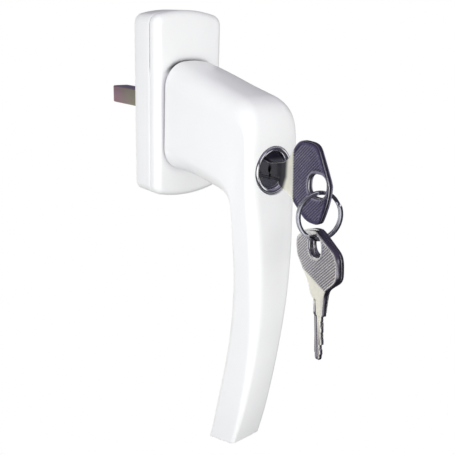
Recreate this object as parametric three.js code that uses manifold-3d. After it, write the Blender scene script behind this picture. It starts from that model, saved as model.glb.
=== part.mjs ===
// Lockable window handle: rosette with a 90-degree detent, lever handle with a square spindle,
// a wafer lock in the handle neck that drives a locking slide, and keys on a split ring.
// Millimetres. +Z up, -Y (front) towards the room, +Y (rear) into the sash.
// Inside the assembly group y = 0 is the mounting face and the spindle axis is x = 0, z = 0.
// The group is moved so that the origin is the free end of the spindle.
import * as THREE from 'three';
import { mergeVertices } from 'three/addons/utils/BufferGeometryUtils.js';
import Module from 'manifold-3d';

const wasm = await Module();
wasm.setup();

// ---------------------------------------------------------------- driving dimensions
// Spindle
const SPINDLE_PROJECTION = 36;      // from the mounting face to the free end
const SPINDLE_SIDE = 7;
const SPINDLE_INNER_END = -32;
const PIN_Y = -12;                  // roll pin through hub and spindle
const PIN_HOLE_R = 1.05;

// Rosette
const ROSETTE_W = 31;
const ROSETTE_H = 70;
const ROSETTE_SAG = 2.4;            // rise of the arched top and bottom
const ROSETTE_CORNER = 4;
const BASE_T = 10;                  // mounting face to the seam with the cover
const COVER_FRONT = -14.3;
const COVER_ROUND = 2.8;
const SCREW_Z = 43 / 2;             // two fixing screws, 43 apart on the vertical centre line
const SCREW_R = 2.6;
const SCREW_HEAD_R = 4.7;
const SPIGOT_R = 5;
const SPIGOT_LEN = 4;
const PLATE_T = 1.2;
const COLLAR_R = 10;
const COLLAR_BORE_R = 8.3;
const COLLAR_FRONT = -18.4;

// Hub and detent
const HUB_R = 7;
const HUB_END = -1.6;
const HUB_FLAT = 6.2;               // half width across the two flats
const HUB_CLEARANCE = 0.1;
const DETENT_R = 10;
const DETENT_BALL_R = 1.75;
const DETENT_Y = -5.4;              // axis of the balls and their springs
const DETENT_BALL_Z = DETENT_R + DETENT_BALL_R + 0.1;

// Lock. The y values of the parts in the lock group are drawn for a front rim at LOCK_LOCAL_RIM.
const LOCK_Z = -16.2;
const LOCK_FACE = -61.6;            // front rim in the assembly
const LOCK_LOCAL_RIM = -62.3;
const LOCK_SHIFT_Y = LOCK_FACE - LOCK_LOCAL_RIM;
const BARREL_R = 6.8;
const BEZEL_R = 8.2;
const BARREL_CLEARANCE = 0.15;
const PLUG_R = 5;
const PLUG_HEAD_R = 6.3;
const GRUB_Y = -46;                 // in the lock group
const WAFER_Y = [-58.4, -55.4, -52.4, -49.4, -46.4];
const CRANK_R = 2.12;               // a quarter turn of the drive pin lifts the slide 3 mm
const CRANK_OFFSET = CRANK_R * Math.SQRT1_2;  // the pin stands at 45 degrees: +x and -z

// Keys and ring; angles in degrees
const KEY_T = 2;
const KEY_AXIS_Z = -16.9;
const KEY_END_Y = -87.4;
const RING_CENTRE = [-0.36, -83.35, -26.9];
const RING_AZIMUTH = -21.8;
const RING_TILT = 6.2;
const RING_R = 8.2;
const RING_WIRE = 1.3;              // radial thickness
const RING_WIDTH = 1.5;
const SPARE_AZIMUTH = -19;
const SPARE_SPREAD = 8.8;           // each hanging key, along the ring from its lowest point
// side along the ring, roll, and [along, across] place of the ring wire in the key's hole
const SPARE_KEYS = [
  { name: 'spare_key_front', side: -1, roll: -10, wireAt: [3.2, -1.2] },
  { name: 'spare_key_rear', side: 1, roll: -6, wireAt: [3.2, 0.8] },
];

// ---------------------------------------------------------------- materials
const material = (options) => new THREE.MeshStandardMaterial(options);
const WHITE = material({ color: 0xf3f3f2, roughness: 0.38, metalness: 0 });
const STEEL = material({ color: 0x9fa3a8, roughness: 0.35, metalness: 1 });
const SPRING = material({ color: 0x8d9094, roughness: 0.3, metalness: 1 });
const CHROME = material({ color: 0xd9dbde, roughness: 0.12, metalness: 1 });
const YELLOW_ZINC = material({ color: 0x9a8f63, roughness: 0.35, metalness: 1 });
const BRASS = material({ color: 0xc2a25a, roughness: 0.3, metalness: 1 });
const NICKEL = material({ color: 0xb8b4a6, roughness: 0.28, metalness: 1 });
const NYLON = material({ color: 0xe6e3d8, roughness: 0.55, metalness: 0 });

// ---------------------------------------------------------------- solids
// Cutting tools run past the faces they open, so that no thin skin is left.
const solid = (geometry) => {
  const bare = geometry.clone();
  for (const name of Object.keys(bare.attributes)) {
    if (name !== 'position') bare.deleteAttribute(name);
  }
  const merged = mergeVertices(bare, 1e-4);
  return new wasm.Manifold(new wasm.Mesh({
    numProp: 3,
    vertProperties: new Float32Array(merged.attributes.position.array),
    triVerts: new Uint32Array(merged.index.array),
  }));
};
const geometryOf = (manifold) => {
  const mesh = manifold.getMesh();
  const geometry = new THREE.BufferGeometry();
  const positions = new Float32Array(mesh.vertProperties);
  geometry.setAttribute('position', new THREE.BufferAttribute(positions, 3));
  geometry.setIndex(new THREE.BufferAttribute(new Uint32Array(mesh.triVerts), 1));
  geometry.computeVertexNormals();
  return geometry;
};
const cut = (base, ...tools) => tools.reduce((result, tool) => result.subtract(tool), base);
const join = (base, ...parts) => parts.reduce((result, part) => result.add(part), base);

const both = (half) => [-half, half];
const middle = ([low, high]) => (low + high) / 2;
const cylinder = (radius, [low, high], seg) =>
  new THREE.CylinderGeometry(radius, radius, high - low, seg);
const rodX = (radius, range, { y = 0, z = 0, seg = 16 } = {}) =>
  solid(cylinder(radius, range, seg).rotateZ(Math.PI / 2).translate(middle(range), y, z));
const rodY = (radius, range, { x = 0, z = 0, seg = 40 } = {}) =>
  solid(cylinder(radius, range, seg).translate(x, middle(range), z));
const rodZ = (radius, range, { x = 0, y = 0, seg = 20 } = {}) =>
  solid(cylinder(radius, range, seg).rotateX(Math.PI / 2).translate(x, y, middle(range)));
const block = (...ranges) => {
  const size = ranges.map(([low, high]) => high - low);
  return solid(new THREE.BoxGeometry(...size).translate(...ranges.map(middle)));
};

// closed profile of [radius, y] pairs turned about the Y axis
const turned = (profile, seg = 40) => {
  const points = profile.map(([radius, y]) => new THREE.Vector2(radius, y));
  if (profile[0][0] > 0) points.push(points[0].clone());
  return new THREE.LatheGeometry(points, seg);
};

// outline in (x, z) drawn from y0 to y1 (y0 < y1)
const extrudeY = (outline, [y0, y1]) => {
  const shape = new THREE.Shape(outline.map(([x, z]) => new THREE.Vector2(x, z)));
  const options = { depth: y1 - y0, bevelEnabled: false, steps: 1 };
  return solid(new THREE.ExtrudeGeometry(shape, options).rotateX(Math.PI / 2).translate(0, y1, 0));
};

const indexed = (positions, indices) => {
  const geometry = new THREE.BufferGeometry();
  geometry.setAttribute('position', new THREE.Float32BufferAttribute(positions, 3));
  geometry.setIndex(indices);
  return geometry;
};

// triangles between neighbouring loops; the last span wraps if spans equals the loop count
const wallIndices = (loops, spans) => {
  const count = loops[0].length;
  const indices = [];
  for (let i = 0; i < spans; i++) {
    const row = i * count;
    const nextRow = ((i + 1) % loops.length) * count;
    for (let j = 0; j < count; j++) {
      const k = (j + 1) % count;
      indices.push(row + j, row + k, nextRow + k, row + j, nextRow + k, nextRow + j);
    }
  }
  return indices;
};

// skin over a list of loops with equal counts, closed by a fan at each end
const skin = (loops) => {
  const count = loops[0].length;
  const positions = loops.flat(2);
  const indices = wallIndices(loops, loops.length - 1);
  for (const row of [0, loops.length - 1]) {
    const centreIndex = positions.length / 3;
    for (let k = 0; k < 3; k++) {
      positions.push(loops[row].reduce((sum, point) => sum + point[k] / count, 0));
    }
    for (let j = 0; j < count; j++) {
      const edge = [row * count + j, row * count + ((j + 1) % count)];
      if (row === 0) edge.reverse();
      indices.push(centreIndex, ...edge);
    }
  }
  // turn the faces outwards if the loops run the other way
  const vertex = (i) => new THREE.Vector3().fromArray(positions, 3 * i);
  let volume = 0;
  for (let i = 0; i < indices.length; i += 3) {
    const [first, second, third] = indices.slice(i, i + 3).map(vertex);
    volume += first.dot(second.cross(third)) / 6;
  }
  if (volume < 0) indices.reverse();
  return solid(indexed(positions, indices));
};

// round-wire coil along +Z
const coil = ({ radius, wire, turns, z0, z1, sides, perTurn }) => {
  const steps = turns * perTurn;
  const path = [];
  for (let i = 0; i <= steps; i++) {
    const angle = (i / perTurn) * Math.PI * 2;
    const z = z0 + wire + ((z1 - z0 - 2 * wire) * i) / steps;
    path.push(new THREE.Vector3(radius * Math.cos(angle), radius * Math.sin(angle), z));
  }
  const rim = [];
  for (let i = 0; i < sides; i++) {
    const angle = (i / sides) * Math.PI * 2;
    rim.push(new THREE.Vector2(wire * Math.cos(angle), wire * Math.sin(angle)));
  }
  const shape = new THREE.Shape(rim);
  shape.closePath();
  const extrudePath = new THREE.CatmullRomCurve3(path);
  return new THREE.ExtrudeGeometry(shape, { steps, bevelEnabled: false, extrudePath });
};

// ---------------------------------------------------------------- groups
const assembly = new THREE.Group();
assembly.position.y = -SPINDLE_PROJECTION;
const lock = new THREE.Group();
lock.position.set(0, LOCK_SHIFT_Y, LOCK_Z);
assembly.add(lock);

const addMesh = (name, geometry, finish, parent = assembly) => {
  const mesh = new THREE.Mesh(geometry, finish);
  mesh.name = name;
  parent.add(mesh);
  return mesh;
};
const addSolid = (name, manifold, finish, parent) =>
  addMesh(name, geometryOf(manifold), finish, parent);

// ---------------------------------------------------------------- rosette outline
// arched top and bottom, corner arcs tangent to the sides and to the arches
const CORNER_SEG = 5;
const ARCH_SEG = 6;
const rosetteOutline = (inset) => {
  const halfW = ROSETTE_W / 2;
  const archR = (halfW ** 2 + ROSETTE_SAG ** 2) / (2 * ROSETTE_SAG);
  const archZ = ROSETTE_H / 2 - archR;
  const cornerX = halfW - ROSETTE_CORNER;
  const rise = Math.sqrt((archR - ROSETTE_CORNER) ** 2 - cornerX ** 2);
  const tangent = Math.atan2(rise, cornerX);
  const quarter = [];
  const addPoint = (x, z, radius, angle) =>
    quarter.push([x + (radius - inset) * Math.cos(angle), z + (radius - inset) * Math.sin(angle)]);
  for (let i = 0; i <= CORNER_SEG; i++) {
    addPoint(cornerX, archZ + rise, ROSETTE_CORNER, (tangent * i) / CORNER_SEG);
  }
  for (let i = 1; i <= ARCH_SEG; i++) {
    addPoint(0, archZ, archR, tangent + ((Math.PI / 2 - tangent) * i) / ARCH_SEG);
  }
  const top = [...quarter, ...quarter.slice(0, -1).reverse().map(([x, z]) => [-x, z])];
  return [...top, ...top.map(([x, z]) => [-x, -z])];
};
const rosetteLoop = (inset, y) => rosetteOutline(inset).map(([x, z]) => [x, y, z]);
const atScrews = (radius, range, seg) =>
  [SCREW_Z, -SCREW_Z].map((z) => rodY(radius, range, { z, seg }));

// ---------------------------------------------------------------- rosette
const rosetteBase = () => {
  const edgeBevel = { inset: 0.6, length: 0.7 };
  const recess = { radius: 10.6, front: -8 };  // for the detent ring, open to the rear
  const headSeatY = -7.8;
  const ballPocket = { radius: 1.9, z0: 9, z1: 17.5 };
  const slot = { half: 2.7, rear: -14.9, reach: 11 };  // crossed slots in the collar's front
  const slotY = [COLLAR_FRONT - 1, slot.rear];
  const shell = join(
    skin([
      rosetteLoop(0, 0),
      rosetteLoop(0, -BASE_T + edgeBevel.length),
      rosetteLoop(edgeBevel.inset, -BASE_T),
    ]),
    rodY(COLLAR_R, [COLLAR_FRONT, -BASE_T + 1]));
  const body = join(
    cut(shell, extrudeY(rosetteOutline(2.2), [-PLATE_T, 1])),
    ...atScrews(SPIGOT_R, [-PLATE_T - 0.5, SPIGOT_LEN], 28));
  return cut(body,
    rodY(recess.radius, [recess.front, 1]),
    rodY(COLLAR_BORE_R, [COLLAR_FRONT - 1, recess.front + 0.5]),
    ...atScrews(SCREW_R, [-BASE_T - 1, SPIGOT_LEN + 1], 20),
    ...atScrews(SCREW_HEAD_R, [-BASE_T - 1, headSeatY], 28),
    rodZ(ballPocket.radius, [ballPocket.z0, ballPocket.z1], { y: DETENT_Y }),
    rodZ(ballPocket.radius, [-ballPocket.z1, -ballPocket.z0], { y: DETENT_Y }),
    block(both(slot.half), slotY, both(slot.reach)),
    block(both(slot.reach), slotY, both(slot.half)));
};
addSolid('rosette_base', rosetteBase(), WHITE);

const backPlate = () => cut(extrudeY(rosetteOutline(2.5), [-PLATE_T, 0]),
  rodY(6.4, [-3, 3], { seg: 32 }),
  ...atScrews(SPIGOT_R + 0.3, [-3, 3], 28));
addSolid('back_plate', backPlate(), STEEL);

const bearingBush = () => {
  const inner = HUB_R + HUB_CLEARANCE;
  const outer = COLLAR_BORE_R - 0.1;
  const front = -14.5;
  const rear = -8.3;
  return turned([[inner, front], [outer, front], [outer, rear], [inner, rear]]);
};
addMesh('bearing_bush', bearingBush(), NYLON);

// hollow cover with a rounded front edge
const ROUND_SEG = 5;
const rosetteCover = () => {
  const wall = 1.9;
  const hollowFront = -12.5;
  const hubWallR = 12.4;
  const holeR = 10.5;
  const loops = [rosetteLoop(0, -BASE_T), rosetteLoop(0, COVER_FRONT + COVER_ROUND)];
  for (let i = 1; i <= ROUND_SEG; i++) {
    const angle = (i / ROUND_SEG) * (Math.PI / 2);
    const y = COVER_FRONT + COVER_ROUND * (1 - Math.sin(angle));
    loops.push(rosetteLoop(COVER_ROUND * (1 - Math.cos(angle)), y));
  }
  const hollow = cut(extrudeY(rosetteOutline(wall), [hollowFront, -BASE_T + 1]),
    rodY(hubWallR, [-14, 0]));
  return cut(skin(loops), hollow, rodY(holeR, [COVER_FRONT - 1, -BASE_T + 1]));
};
addSolid('rosette_cover', rosetteCover(), WHITE);

// ---------------------------------------------------------------- detent balls and springs
const detentSpring = () => coil({
  radius: 1.42, wire: 0.22, turns: 4, z0: 13.75, z1: 17.3, sides: 6, perTurn: 10,
});
for (const [end, side] of [['upper', 1], ['lower', -1]]) {
  const ball = new THREE.SphereGeometry(DETENT_BALL_R, 16, 10);
  addMesh(`detent_ball_${end}`, ball.translate(0, DETENT_Y, side * DETENT_BALL_Z), STEEL);
  const spring = addMesh(`detent_spring_${end}`, detentSpring(), SPRING);
  spring.position.y = DETENT_Y;
  if (side < 0) spring.rotation.y = Math.PI;
}

// ---------------------------------------------------------------- handle body
// Columns: outer rail y, z; inner rail y, z; half width at the outer and inner rail;
// corner radius at the outer and inner rail. From the foot down to the tip.
const STATIONS = [
  [-14.6, 17.0, -14.6, -23.4, 12.6, 12.6, 9.3, 8.5],
  [-20.0, 16.3, -21.0, -23.4, 12.55, 12.55, 9.2, 8.5],
  [-26.0, 14.95, -28.0, -23.8, 12.5, 12.5, 9.0, 8.3],
  [-32.0, 13.4, -34.5, -24.7, 12.45, 12.4, 8.8, 8.0],
  [-38.0, 11.75, -39.8, -25.4, 12.4, 12.3, 8.5, 7.6],
  [-44.0, 10.15, -44.0, -26.1, 12.35, 12.1, 8.2, 7.2],
  [-49.8, 8.7, -47.2, -27.2, 12.3, 11.9, 7.8, 6.8],
  [-54.4, 7.3, -49.4, -28.9, 12.25, 11.6, 7.3, 6.4],
  [-57.9, 4.9, -50.5, -31.2, 12.2, 11.3, 6.7, 6.1],
  [-59.9, 1.2, -50.9, -33.8, 12.15, 11.05, 6.1, 5.8],
  [-60.8, -4.2, -51.05, -36.8, 12.1, 10.8, 5.6, 5.6],
  [-61.1, -12.0, -51.1, -40.2, 11.9, 10.5, 5.2, 5.4],
  [-61.5, -21.0, -51.05, -44.2, 11.55, 10.2, 5.0, 5.2],
  [-62.7, -30.0, -50.95, -48.8, 11.0, 9.85, 5.0, 5.0],
  [-63.9, -40.0, -50.75, -54.0, 10.4, 9.45, 4.9, 4.9],
  [-64.6, -50.0, -50.4, -60.0, 9.8, 9.05, 4.7, 4.7],
  [-64.7, -60.5, -49.8, -67.5, 9.15, 8.65, 4.4, 4.4],
  [-64.2, -71.0, -48.95, -76.0, 8.45, 8.2, 4.0, 4.0],
  [-63.0, -81.5, -47.7, -85.2, 7.9, 7.8, 3.5, 3.5],
  [-61.4, -92.0, -46.0, -95.0, 7.55, 7.5, 3.0, 3.0],
  [-59.4, -102.5, -43.9, -105.3, 7.35, 7.35, 2.6, 2.6],
  [-57.3, -112.0, -41.9, -115.2, 7.25, 7.25, 2.2, 2.2],
  [-55.2, -119.9, -40.2, -123.9, 7.2, 7.2, 1.9, 1.9],
  [-53.4, -125.8, -38.75, -129.8, 7.2, 7.2, 1.6, 1.6],
];
const GRIP_STEPS = 30;
const GRIP_CORNER_SEG = 5;

// Catmull-Rom interpolation of the stations, t from 0 to 1; the ends are extended in line
const station = (t) => {
  const last = STATIONS.length - 1;
  const i = Math.min(Math.floor(t * last), last - 1);
  const u = t * last - i;
  const extend = (end, inner) => STATIONS[end].map((v, j) => 2 * v - STATIONS[inner][j]);
  const before = i > 0 ? STATIONS[i - 1] : extend(0, 1);
  const after = i + 2 <= last ? STATIONS[i + 2] : extend(last, last - 1);
  return STATIONS[i].map((from, j) => {
    const [prev, to, next] = [before[j], STATIONS[i + 1][j], after[j]];
    return 0.5 * (2 * from + (to - prev) * u
      + (2 * prev - 5 * from + 4 * to - next) * u ** 2
      + (3 * from - prev - 3 * to + next) * u ** 3);
  });
};

// rounded section between the two rails
const gripLoop = (row, inset = 0, [shiftY, shiftZ] = [0, 0]) => {
  const [outerY, outerZ, innerY, innerZ, outerHalf, innerHalf, outerR, innerR] = row;
  const depth = Math.hypot(outerY - innerY, outerZ - innerZ);
  const corner = (side, outer) => {
    const radius = (outer ? outerR : innerR) - inset;
    const points = [];
    for (let i = 0; i <= GRIP_CORNER_SEG; i++) {
      const angle = (i / GRIP_CORNER_SEG) * (Math.PI / 2);
      const fromRail = inset + radius - radius * Math.sin(angle);
      const along = (outer ? depth - fromRail : fromRail) / depth;
      const half = innerHalf + (outerHalf - innerHalf) * along - inset;
      points.push([
        side * (half - radius + radius * Math.cos(angle)),
        innerY + (outerY - innerY) * along + shiftY,
        innerZ + (outerZ - innerZ) * along + shiftZ,
      ]);
    }
    return points;
  };
  return [
    ...corner(1, true), ...corner(-1, true).reverse(),
    ...corner(-1, false), ...corner(1, false).reverse(),
  ];
};

const handleGrip = () => {
  const tip = { inset: 0.8, shift: [0.12, -0.5] };
  const channelY = [-38.9, -14];      // channel for the locking slide
  const lockBoreRear = -38.7;
  const socketHalf = SPINDLE_SIDE / 2 + 0.1;
  const loops = [];
  for (let i = 0; i <= GRIP_STEPS; i++) loops.push(gripLoop(station(i / GRIP_STEPS)));
  loops.push(gripLoop(station(1), tip.inset, tip.shift));
  const body = cut(skin(loops),
    rodY(COLLAR_R + 0.4, [COLLAR_FRONT - 0.4, -14]),
    block(both(5.6), channelY, [-21.5, -8.2]),
    block(both(2.8), channelY, [-14.5, -7.2]),
    rodY(BARREL_R + BARREL_CLEARANCE, [-66, lockBoreRear], { z: LOCK_Z, seg: 36 }),
    rodY(BEZEL_R + BARREL_CLEARANCE, [-66, LOCK_FACE + 1.25], { z: LOCK_Z, seg: 36 }),
    rodZ(2.1, [-32, -22.6], { y: GRUB_Y + LOCK_SHIFT_Y }));
  return cut(join(body, rodY(HUB_R, [-19.5, HUB_END])),
    solid(turned([[6.3, -3], [8, -3], [8, -2.3], [6.3, -2.3]])),  // circlip groove
    block([HUB_FLAT, 9], [-7.9, 0], both(9)),
    block([-9, -HUB_FLAT], [-7.9, 0], both(9)),
    block(both(socketHalf), [SPINDLE_INNER_END - 0.6, 0], both(socketHalf)),
    rodX(PIN_HOLE_R, both(9), { y: PIN_Y }));
};
addSolid('handle_grip', handleGrip(), WHITE);

// ---------------------------------------------------------------- spindle and roll pin
const squareLoop = (half, chamfer, y) => {
  const flat = half - chamfer;
  return [
    [half, -flat], [half, flat], [flat, half], [-flat, half],
    [-half, flat], [-half, -flat], [-flat, -half], [flat, -half],
  ].map(([x, z]) => [x, y, z]);
};
const squareSpindle = () => {
  const half = SPINDLE_SIDE / 2;
  const bar = skin([
    squareLoop(half - 0.4, 0.4, SPINDLE_INNER_END),
    squareLoop(half, 0.4, SPINDLE_INNER_END + 0.5),
    squareLoop(half, 0.4, SPINDLE_PROJECTION - 0.8),
    squareLoop(half - 0.7, 0.5, SPINDLE_PROJECTION),
  ]);
  return cut(bar, rodX(PIN_HOLE_R, both(9), { y: PIN_Y }));
};
addSolid('square_spindle', squareSpindle(), YELLOW_ZINC);

const rollPin = () =>
  cut(rodX(1, both(6.8), { y: PIN_Y }), rodX(0.5, both(8), { y: PIN_Y, seg: 10 }));
addSolid('spindle_roll_pin', rollPin(), STEEL);

// ---------------------------------------------------------------- parts on the hub
// ring that fits the hub's flats, with four notches for the balls
const detentRing = () => {
  const notch = { radius: 2.2, centre: 11.3 };
  const bore = rodY(HUB_R + HUB_CLEARANCE, [-9, 0])
    .intersect(block(both(HUB_FLAT + HUB_CLEARANCE), [-9, 0], both(9)));
  const notches = [[1, 0], [-1, 0], [0, 1], [0, -1]].map(([x, z]) =>
    rodY(notch.radius, [-9, 0], { x: notch.centre * x, z: notch.centre * z, seg: 20 }));
  return cut(rodY(DETENT_R, [-7.7, -3.7], { seg: 48 }), bore, ...notches);
};
addSolid('detent_ring', detentRing(), STEEL);

// three-wave washer between the detent ring and the circlip
const waveWasher = () => {
  const seg = 36;
  const amplitude = 0.09;
  const profile = [[7.25, -3.46], [9, -3.46], [9, -3.24], [7.25, -3.24]];  // [radius, y]
  const loops = [];
  for (let i = 0; i < seg; i++) {
    const angle = (i / seg) * Math.PI * 2;
    const wave = amplitude * Math.cos(3 * angle);
    loops.push(profile.map(([radius, y]) =>
      [radius * Math.cos(angle), y + wave, radius * Math.sin(angle)]));
  }
  const geometry = indexed(loops.flat(2), wallIndices(loops, seg));
  geometry.computeVertexNormals();
  return geometry;
};
addMesh('wave_washer', waveWasher(), SPRING);

const hubCirclip = () => cut(
  solid(turned([[6.4, -2.95], [8.7, -2.95], [8.7, -2.35], [6.4, -2.35]])),
  block(both(3.2), [-4, 0], [-10, 0]));
addSolid('hub_circlip', hubCirclip(), SPRING);

// ---------------------------------------------------------------- lock (in the lock group)
const lockHousing = () => {
  const seatR = PLUG_HEAD_R + 0.12;
  const boreR = PLUG_R + 0.1;
  return turned([
    [seatR, -61.3], [7.8, LOCK_LOCAL_RIM], [BEZEL_R, -62.0], [BEZEL_R, -61.15],
    [BARREL_R, -61.15], [BARREL_R, -42.2], [BARREL_R - 0.3, -41.9],
    [boreR, -41.9], [boreR, -60.1], [seatR, -60.1],
  ], 36);
};
addMesh('lock_housing', lockHousing(), CHROME, lock);

// set below the barrel, with a hexagon socket in its lower end
const grubScrew = () => cut(rodZ(1.95, [-9.7, -6.95]), rodZ(1.1, [-11.2, -8.2], { seg: 6 }));
addSolid('lock_grub_screw', grubScrew(), STEEL, lock).position.y = GRUB_Y;

const crankRod = (radius, range) =>
  rodY(radius, range, { x: CRANK_OFFSET, z: -CRANK_OFFSET, seg: 16 });
const cylinderPlug = () => {
  // the neck between y -41.35 and -40.65 takes the circlip
  const body = solid(turned([
    [0, -60.9], [PLUG_HEAD_R, -60.9], [PLUG_HEAD_R, -60.22], [PLUG_R, -60.22],
    [PLUG_R, -41.8], [4.2, -41.8], [4.2, -41.35], [3.6, -41.35],
    [3.6, -40.65], [4.2, -40.65], [4.2, -39.2], [0, -39.2],
  ], 36));
  // keyway, taller at its mouth
  const keyway = [
    block(both(1.15), [-63, -42.9], [-3.15, 2.4]),
    block(both(1.15), [-63, -59.1], [-3.15, 2.8]),
  ];
  // a slot for each wafer, with a pocket for its spring
  const waferSlots = WAFER_Y.flatMap((y) => [
    block(both(2.6), [y - 0.5, y + 0.5], both(6)),
    block([2.5, 4.05], [y - 0.62, y + 0.62], both(1.9)),
  ]);
  return cut(body, ...keyway, ...waferSlots, crankRod(0.97, [-41.3, -38]));
};
addSolid('cylinder_plug', cylinderPlug(), CHROME, lock);
addSolid('drive_pin', crankRod(0.9, [-41.2, -36.95]), STEEL, lock);

const plugCirclip = () => cut(
  solid(turned([[3.7, -41.25], [5.8, -41.25], [5.8, -40.75], [3.7, -40.75]], 28)),
  block(both(1.9), [-43, -39], [0, 8]));
addSolid('plug_circlip', plugCirclip(), SPRING, lock);

// plate with a side lug over its spring and a window for the key
const wafer = (y) => {
  const thickness = [y - 0.4, y + 0.4];
  return cut(
    join(block(both(2.45), thickness, both(4.2)), block([2, 3.9], thickness, [1.15, 1.75])),
    block(both(1.35), [y - 2, y + 2], [-3.25, 2.5]));
};
const waferSpring = () => coil({
  radius: 0.42, wire: 0.1, turns: 4, z0: -1.8, z1: 1.05, sides: 5, perTurn: 8,
});
WAFER_Y.forEach((y, i) => {
  addSolid(`wafer_${i + 1}`, wafer(y), BRASS, lock);
  addMesh(`wafer_spring_${i + 1}`, waferSpring(), SPRING, lock).position.set(3.32, y, 0);
});

// ---------------------------------------------------------------- locking slide
const lockingSlide = () => {
  const slotZ = LOCK_Z - CRANK_OFFSET;
  const slotHalf = 1.12;
  const bar = block(both(2.4), [-37, -15.3], [-14, -12]);
  const tooth = block(both(2.4), [-18.1, -15.3], [-14, -10.6]);
  const drivePlate = block(both(5.2), [-38, -36.2], [-21.1, -12]);
  return cut(join(bar, tooth, drivePlate),
    block([0, 4.1], [-40, -35], [slotZ - slotHalf, slotZ + slotHalf]));
};
addSolid('locking_slide', lockingSlide(), STEEL);

// ---------------------------------------------------------------- keys
// Key frame: x (along) from the end of the bow to the tip, y across, z through the thickness.
// Outline points are [along, across].
const KEY_LOWER_SIDE = [  // across < 0, bow to blade
  [0.4, -1.4], [0.55, -3.0], [0.9, -5.0], [1.4, -7.0], [2.1, -9.2], [2.8, -11.2],
  [3.5, -12.4], [4.7, -13.05], [6.4, -13.2], [8.5, -13.0], [10.3, -12.3], [11.8, -11.1],
  [13.4, -9.7], [15.2, -8.1], [17.0, -6.4], [18.6, -5.2], [20.2, -4.6], [21.6, -4.1],
  [22.5, -3.4], [22.9, -2.3],
];
const KEY_TIP = [[42.3, -2.3], [43.4, -1.0]];
const KEY_UPPER_SIDE = [  // bow to tip
  [0.4, 0.2], [0.9, 1.6], [1.6, 3.1], [2.6, 5.2], [3.7, 7.4], [4.7, 9.4], [5.5, 10.9],
  [6.6, 12.2], [8.2, 12.9], [10.2, 13.1], [12.6, 13.1], [14.2, 12.6], [15.5, 11.5],
  [16.8, 9.6], [18.2, 7.2], [19.6, 5.5], [21.2, 4.6], [24.0, 3.9], [26.4, 3.4], [27.8, 3.2],
  // bitted edge
  [28.2, 1.9], [29.6, 1.9], [30.2, 1.55], [31.4, 1.55], [32.0, 1.9], [33.4, 1.9],
  [34.0, 1.5], [35.4, 1.5], [36.0, 1.8], [37.7, 1.8], [38.0, 0.6], [39.4, 0.6],
  [39.9, 0.9], [41.2, 0.9], [41.7, 0.5], [42.8, 0.3], [43.4, -0.3],
];
const KEY_OUTLINE = [...KEY_LOWER_SIDE, ...KEY_TIP, ...KEY_UPPER_SIDE.slice().reverse()];
const KEY_HOLE = { x: 5.4, y: -0.4, halfX: 3.6, halfY: 3.8, exponent: 0.8, seg: 24 };
const SHOULDER_X = 28.1;  // full thickness up to here, milled blade beyond
const BLADE_T = 1.3;
const GROOVE_DEPTH = 0.3;

const keyGeometry = () => {
  const shape = new THREE.Shape(KEY_OUTLINE.map(([x, y]) => new THREE.Vector2(x, y)));
  const soften = (v) => Math.sign(v) * Math.abs(v) ** KEY_HOLE.exponent;
  const hole = [];
  for (let i = 0; i < KEY_HOLE.seg; i++) {
    const angle = (-i / KEY_HOLE.seg) * Math.PI * 2;
    hole.push(new THREE.Vector2(
      KEY_HOLE.x + KEY_HOLE.halfX * soften(Math.cos(angle)),
      KEY_HOLE.y + KEY_HOLE.halfY * soften(Math.sin(angle))));
  }
  shape.holes.push(new THREE.Path(hole));
  const options = { depth: KEY_T, bevelEnabled: false, steps: 1 };
  const blank = solid(new THREE.ExtrudeGeometry(shape, options).translate(0, 0, -KEY_T / 2));
  const bladeHalf = BLADE_T / 2;
  const grooveFloor = bladeHalf - GROOVE_DEPTH;
  return geometryOf(cut(blank,
    block([SHOULDER_X, 46], both(5), [bladeHalf, 3]),
    block([SHOULDER_X, 46], both(5), [-3, -bladeHalf]),
    block([25, 46], [-1.3, -0.6], [grooveFloor, 3]),
    block([25, 46], [-1.3, -0.6], [-3, -grooveFloor])));
};

const vector = (x, y, z) => new THREE.Vector3(x, y, z);
const radians = THREE.MathUtils.degToRad;
// stands a mesh on the given x and y axes, z square to both
const orient = (mesh, xAxis, yAxis, origin) => {
  const zAxis = xAxis.clone().cross(yAxis);
  new THREE.Matrix4().makeBasis(xAxis, yAxis, zAxis).setPosition(origin)
    .decompose(mesh.position, mesh.quaternion, mesh.scale);
};

// the key in the lock lies in the vertical plane, bitted edge up
orient(addMesh('key_in_lock', keyGeometry(), NICKEL),
  vector(0, 1, 0), vector(0, 0, 1), vector(0, KEY_END_Y, KEY_AXIS_Z));

// ---------------------------------------------------------------- split ring
const azimuth = radians(RING_AZIMUTH);
const tilt = radians(RING_TILT);
const ringCentre = vector(...RING_CENTRE);
const ringSide = vector(Math.cos(azimuth), Math.sin(azimuth), 0);
const ringUp = vector(
  -Math.sin(azimuth) * Math.sin(tilt), Math.cos(azimuth) * Math.sin(tilt), Math.cos(tilt));
const ringNormal = ringSide.clone().cross(ringUp).normalize();

const splitRing = () => {
  const inner = RING_R - RING_WIRE;
  const half = RING_WIDTH / 2;
  const chamfer = 0.25;
  const flat = half - chamfer;
  return turned([
    [inner + chamfer, -half], [RING_R - chamfer, -half], [RING_R, -flat], [RING_R, flat],
    [RING_R - chamfer, half], [inner + chamfer, half], [inner, flat], [inner, -flat],
  ], 56);
};
// the turning axis (local Y) lies along the ring normal
orient(addMesh('split_ring', splitRing(), STEEL), ringSide, ringNormal, ringCentre);

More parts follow.
